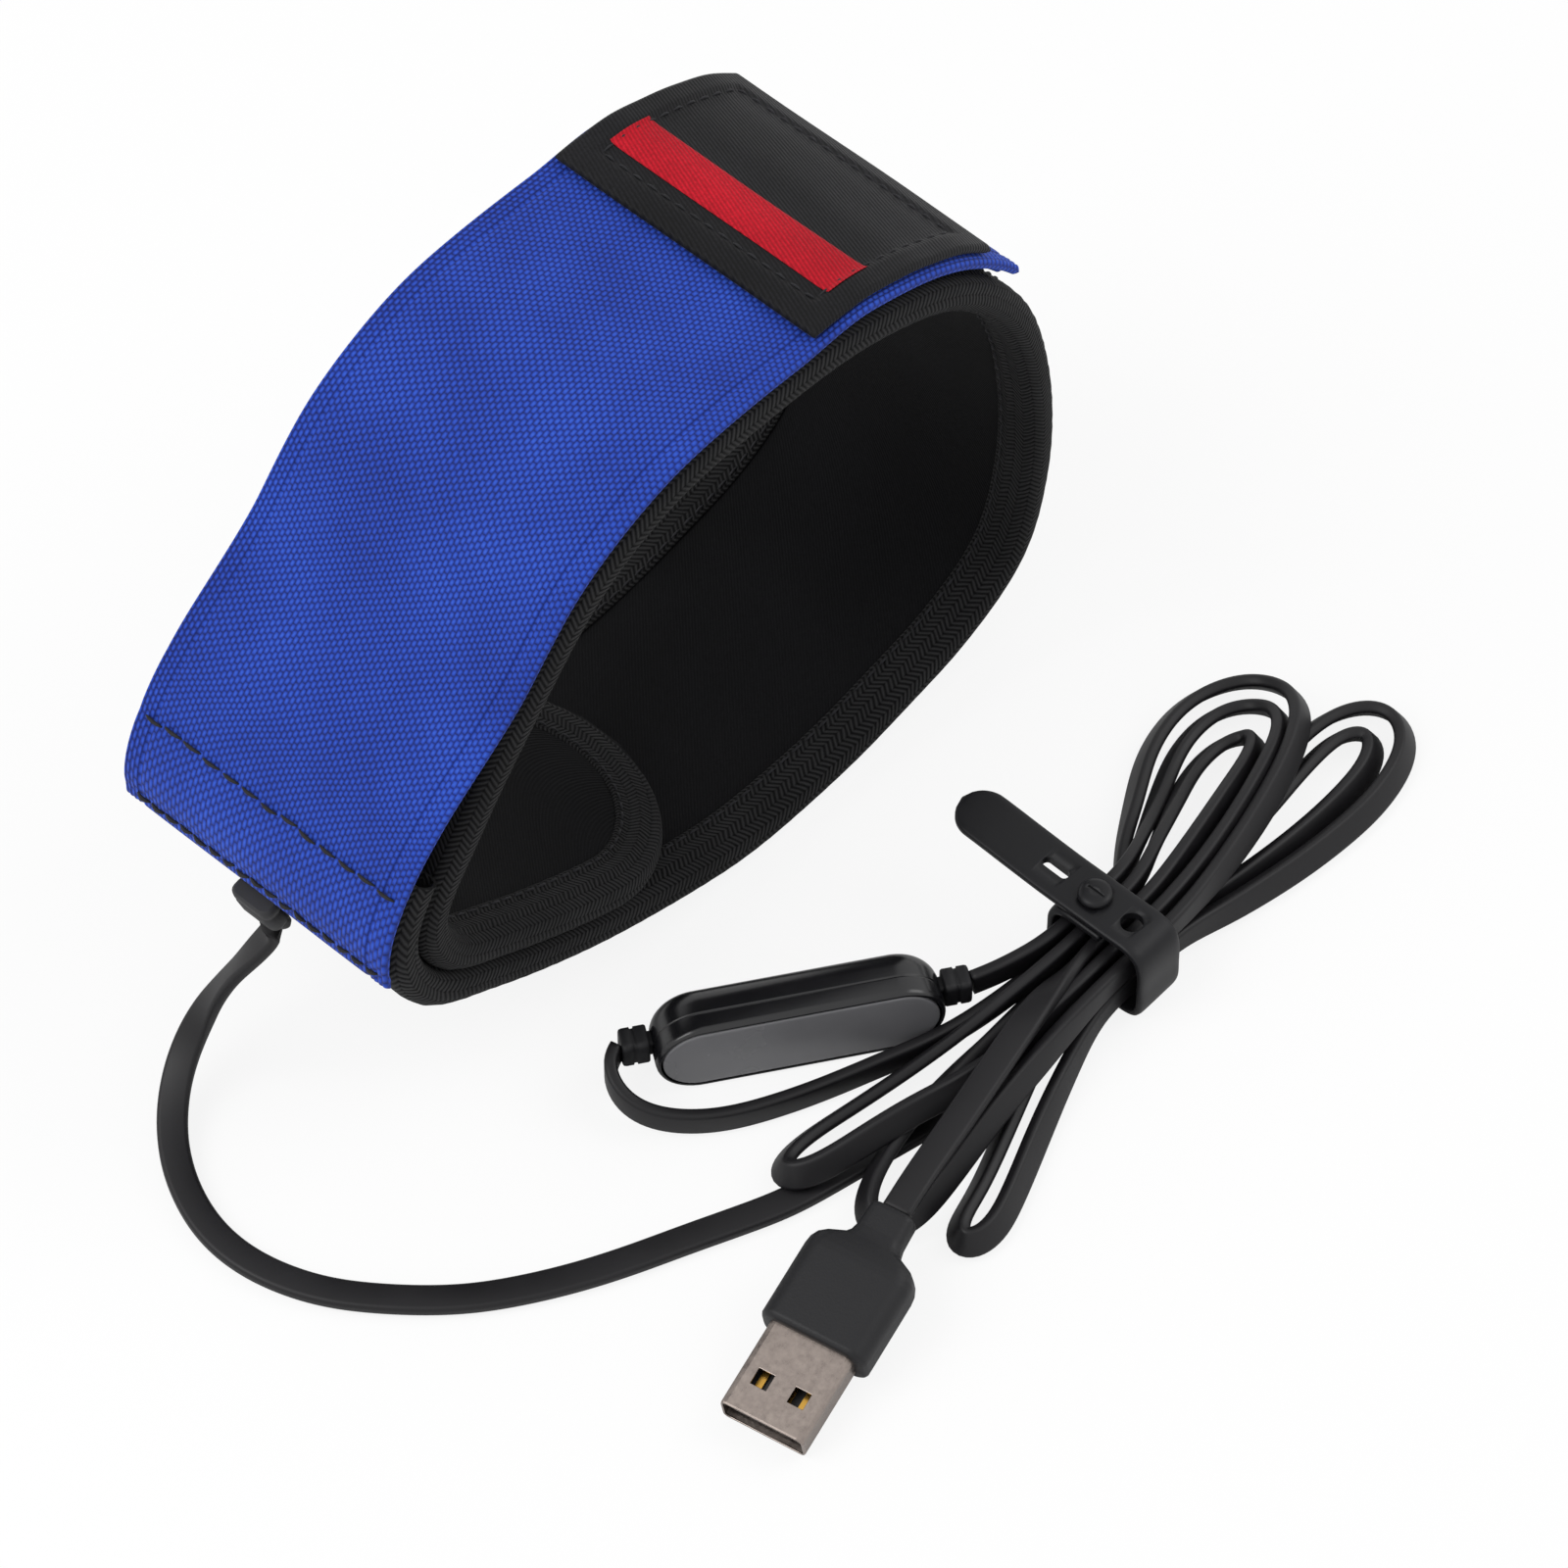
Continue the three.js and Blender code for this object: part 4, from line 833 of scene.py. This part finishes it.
shell = bpy.data.objects.new("plug_shell_sheet", shell_mesh)
bpy.context.scene.collection.objects.link(shell)
wall = shell.modifiers.new("wall", "SOLIDIFY")
wall.thickness, wall.offset = 0.0003, -1
rim = shell.modifiers.new("rim", "BEVEL")
rim.width, rim.segments, rim.limit_method, rim.angle_limit = 0.00008, 2, "ANGLE", np.radians(50)
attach(shell, "root")
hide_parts("plug_shell")
insulator_finish = moulded("insulator_nylon", "#101012", "#1D1D20", 0.5, 0.3, 0.03)
gilt = moulded("gilt_contacts", "#B98A38", "#DDB45C", 0.28, 0.6, 0.01, metallic=1.0)
refinish("plug_insulator", insulator_finish)
for k in range(1, 5):
    refinish(f"plug_contact_{k}", gilt)

# Tie: a moulded silicone rubber band wound round the hank's waist, its button pushed through a hole and its
# tail left free. A slot and a spare hole go through the band, and the tail's tip is round.
tie_rubber = moulded("tie_silicone", "#101012", "#19191C", 0.42, 0.35, 0.03, ior=1.45, specular=0.3)
tie_half, tie_thick = 4, 1.3
tie_line = np.array([
    (-73.5, 12.45), (-68, 12.45), (-66.2, 12.1), (-65.2, 10.8), (-65.05, 8), (-65.05, 4), (-65.3, 2.2), (-66.6, 1.15),
    (-68.6, 0.95), (-74, 0.95), (-78.6, 0.95), (-80.2, 1.5), (-80.9, 3), (-80.95, 7), (-80.8, 11), (-80.1, 13.1),
    (-78.4, 14.05), (-74, 14.1), (-69, 14.1), (-63.5, 14.1), (-57, 14.4), (-51, 14.75), (-45.65, 14.9),
])
tie_path = route(np.column_stack([np.zeros(len(tie_line)), tie_line]), 0.4, 0.6)[:, 1:]
tie_ahead = np.gradient(tie_path, axis=0)
tie_ahead /= np.linalg.norm(tie_ahead, axis=1)[:, None]
tie_normal = np.column_stack([-tie_ahead[:, 1], tie_ahead[:, 0]])
tie_along = lengths(np.column_stack([tie_path, tie_path[:, 0] * 0]))
left_over = tie_along[-1] - tie_along
tip_wide = np.sqrt(np.maximum(0.05, tie_half ** 2 - (tie_half - left_over) ** 2))
tie_wide = np.where(left_over < tie_half, tip_wide, tie_half)
tie_section = rounded_bar(2, tie_thick, 0.3, 4)
section_x = tie_section[None, :, 0] * tie_wide[:, None]
tie_rings = np.stack([
    tie_x + section_x,
    tie_path[:, :1] + tie_normal[:, :1] * tie_section[None, :, 1],
    tie_path[:, 1:] + tie_normal[:, 1:] * tie_section[None, :, 1],
], -1)
tie = skin("tie_band", tie_rings, tie_rubber)


def cut(piece, cutters):
    """Takes the cutters out of the piece with an exact Boolean, keeps the result as its mesh and removes the
    cutters."""
    for cutter in cutters:
        modifier = piece.modifiers.new("cut", "BOOLEAN")
        modifier.operation, modifier.solver, modifier.object = "DIFFERENCE", "EXACT", cutter
    evaluated = piece.evaluated_get(bpy.context.evaluated_depsgraph_get())
    made = bpy.data.meshes.new_from_object(evaluated)
    piece.modifiers.clear()
    piece.data = made
    for cutter in cutters:
        bpy.data.objects.remove(cutter)


def post(wide, deep, low, high, y, corner, cuts=10):
    """Upright cutter or pin: a bar outline with round corners carried from low to high."""
    outline = rounded_bar(wide, deep, corner, cuts) + (tie_x, y)
    rings = [np.column_stack([outline, np.full(len(outline), z)]) for z in (low, high)]
    return skin("cutter", rings, tie_rubber, smooth=False)


stud_y = -69.5
tie_slot = post(1.5, 4.4, 13.2, 17, stud_y + 7, 0.7)
tie_holes = [post(3.2, 3.2, 13.2, 17, y, 1.59) for y in (stud_y - 6.5, stud_y)]
cut(tie, [tie_slot, *tie_holes])
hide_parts("cable_tie")
stud_angle = np.radians(np.arange(0, 360, 10))
stud_profile = [
    (1.3, 12.9), (1.3, 14.9), (2.2, 15.0), (2.38, 15.1), (2.42, 15.3), (2.36, 15.6), (2.15, 15.85), (1.7, 16.0),
    (1, 16.08), (0.15, 16.1),
]
stud_circle = np.column_stack([np.cos(stud_angle), np.sin(stud_angle), 0 * stud_angle])
stud_rings = [stud_circle * r + (tie_x, stud_y, z) for r, z in stud_profile]
stud = skin("tie_button", stud_rings, tie_rubber)
cut(stud, [post(0.35, 2.6, 15.85, 17, stud_y, 0.15)])
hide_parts("tie_stud")

# Floor and light: a plain white table top that keeps the shadow, a white surround seen by the camera and in
# reflections, one broad lamp from the upper left, one softer lamp from the right and an even fill.
floor_mesh = bpy.data.meshes.new("floor")
floor_corners = [(x, y, -0.0002) for x, y in ((-3, -3), (3, -3), (3, 3), (-3, 3))]
floor_mesh.from_pydata(floor_corners, [], [(0, 1, 2, 3)])
floor = bpy.data.objects.new("floor", floor_mesh)
bpy.context.scene.collection.objects.link(floor)
table_white, floor_tree, floor_join = surface_of("white_table", 0.9)
floor_join("Base Color", blend(floor_tree, add(floor_tree, "TexNoise", {"Scale": 3.0}), "#F4F4F4", "#F8F8F8"))
lit = floor_tree.nodes["Principled BSDF"].outputs[0]
white_glow = add(floor_tree, "Emission", {"Color": (1, 1, 1, 1), "Strength": 1.0})
camera_sees = add(floor_tree, "LightPath", out=0)
share = add(floor_tree, "Math", [camera_sees, 0.86], operation="MULTIPLY")
mixed = add(floor_tree, "MixShader", {0: share, 1: lit, 2: white_glow})
floor_tree.links.new(mixed, floor_tree.nodes["Material Output"].inputs[0])
floor_mesh.materials.append(table_white)

world = bpy.data.worlds.new("surround")
bpy.context.scene.world = world
world.use_nodes = True
sky = world.node_tree
seen = [add(sky, "LightPath", out=k) for k in (0, 3, 6)]
sees = add(sky, "Math", [add(sky, "Math", seen[:2], operation="MAXIMUM"), seen[2]], operation="MAXIMUM")
glow = add(sky, "Mix", {0: sees, 2: 0.62, 3: 1.0}, data_type="FLOAT")
sky.links.new(glow, sky.nodes["Background"].inputs["Strength"])
sky.nodes["Background"].inputs["Color"].default_value = (1, 1, 1, 1)


def lamp(name, place, size, power):
    """Square soft lamp at a place in metres, turned to the middle of the object."""
    light = bpy.data.lights.new(name, "AREA")
    light.size, light.energy = size, power
    made = bpy.data.objects.new(name, light)
    back = np.array(place) - (0, -0.02, 0.03)
    back = back / np.linalg.norm(back)
    right = np.cross([0, 0, 1], back)
    right /= np.linalg.norm(right)
    axes = Matrix(np.column_stack([right, np.cross(back, right), back]).tolist()).to_4x4()
    made.matrix_world = Matrix.Translation(place) @ axes
    bpy.context.scene.collection.objects.link(made)


lamp("lamp_left", (-0.75, 0.35, 1.0), 0.8, 8)
lamp("lamp_right", (0.75, -0.6, 0.9), 0.7, 3.5)

bpy.context.scene.view_settings.view_transform = "Standard"
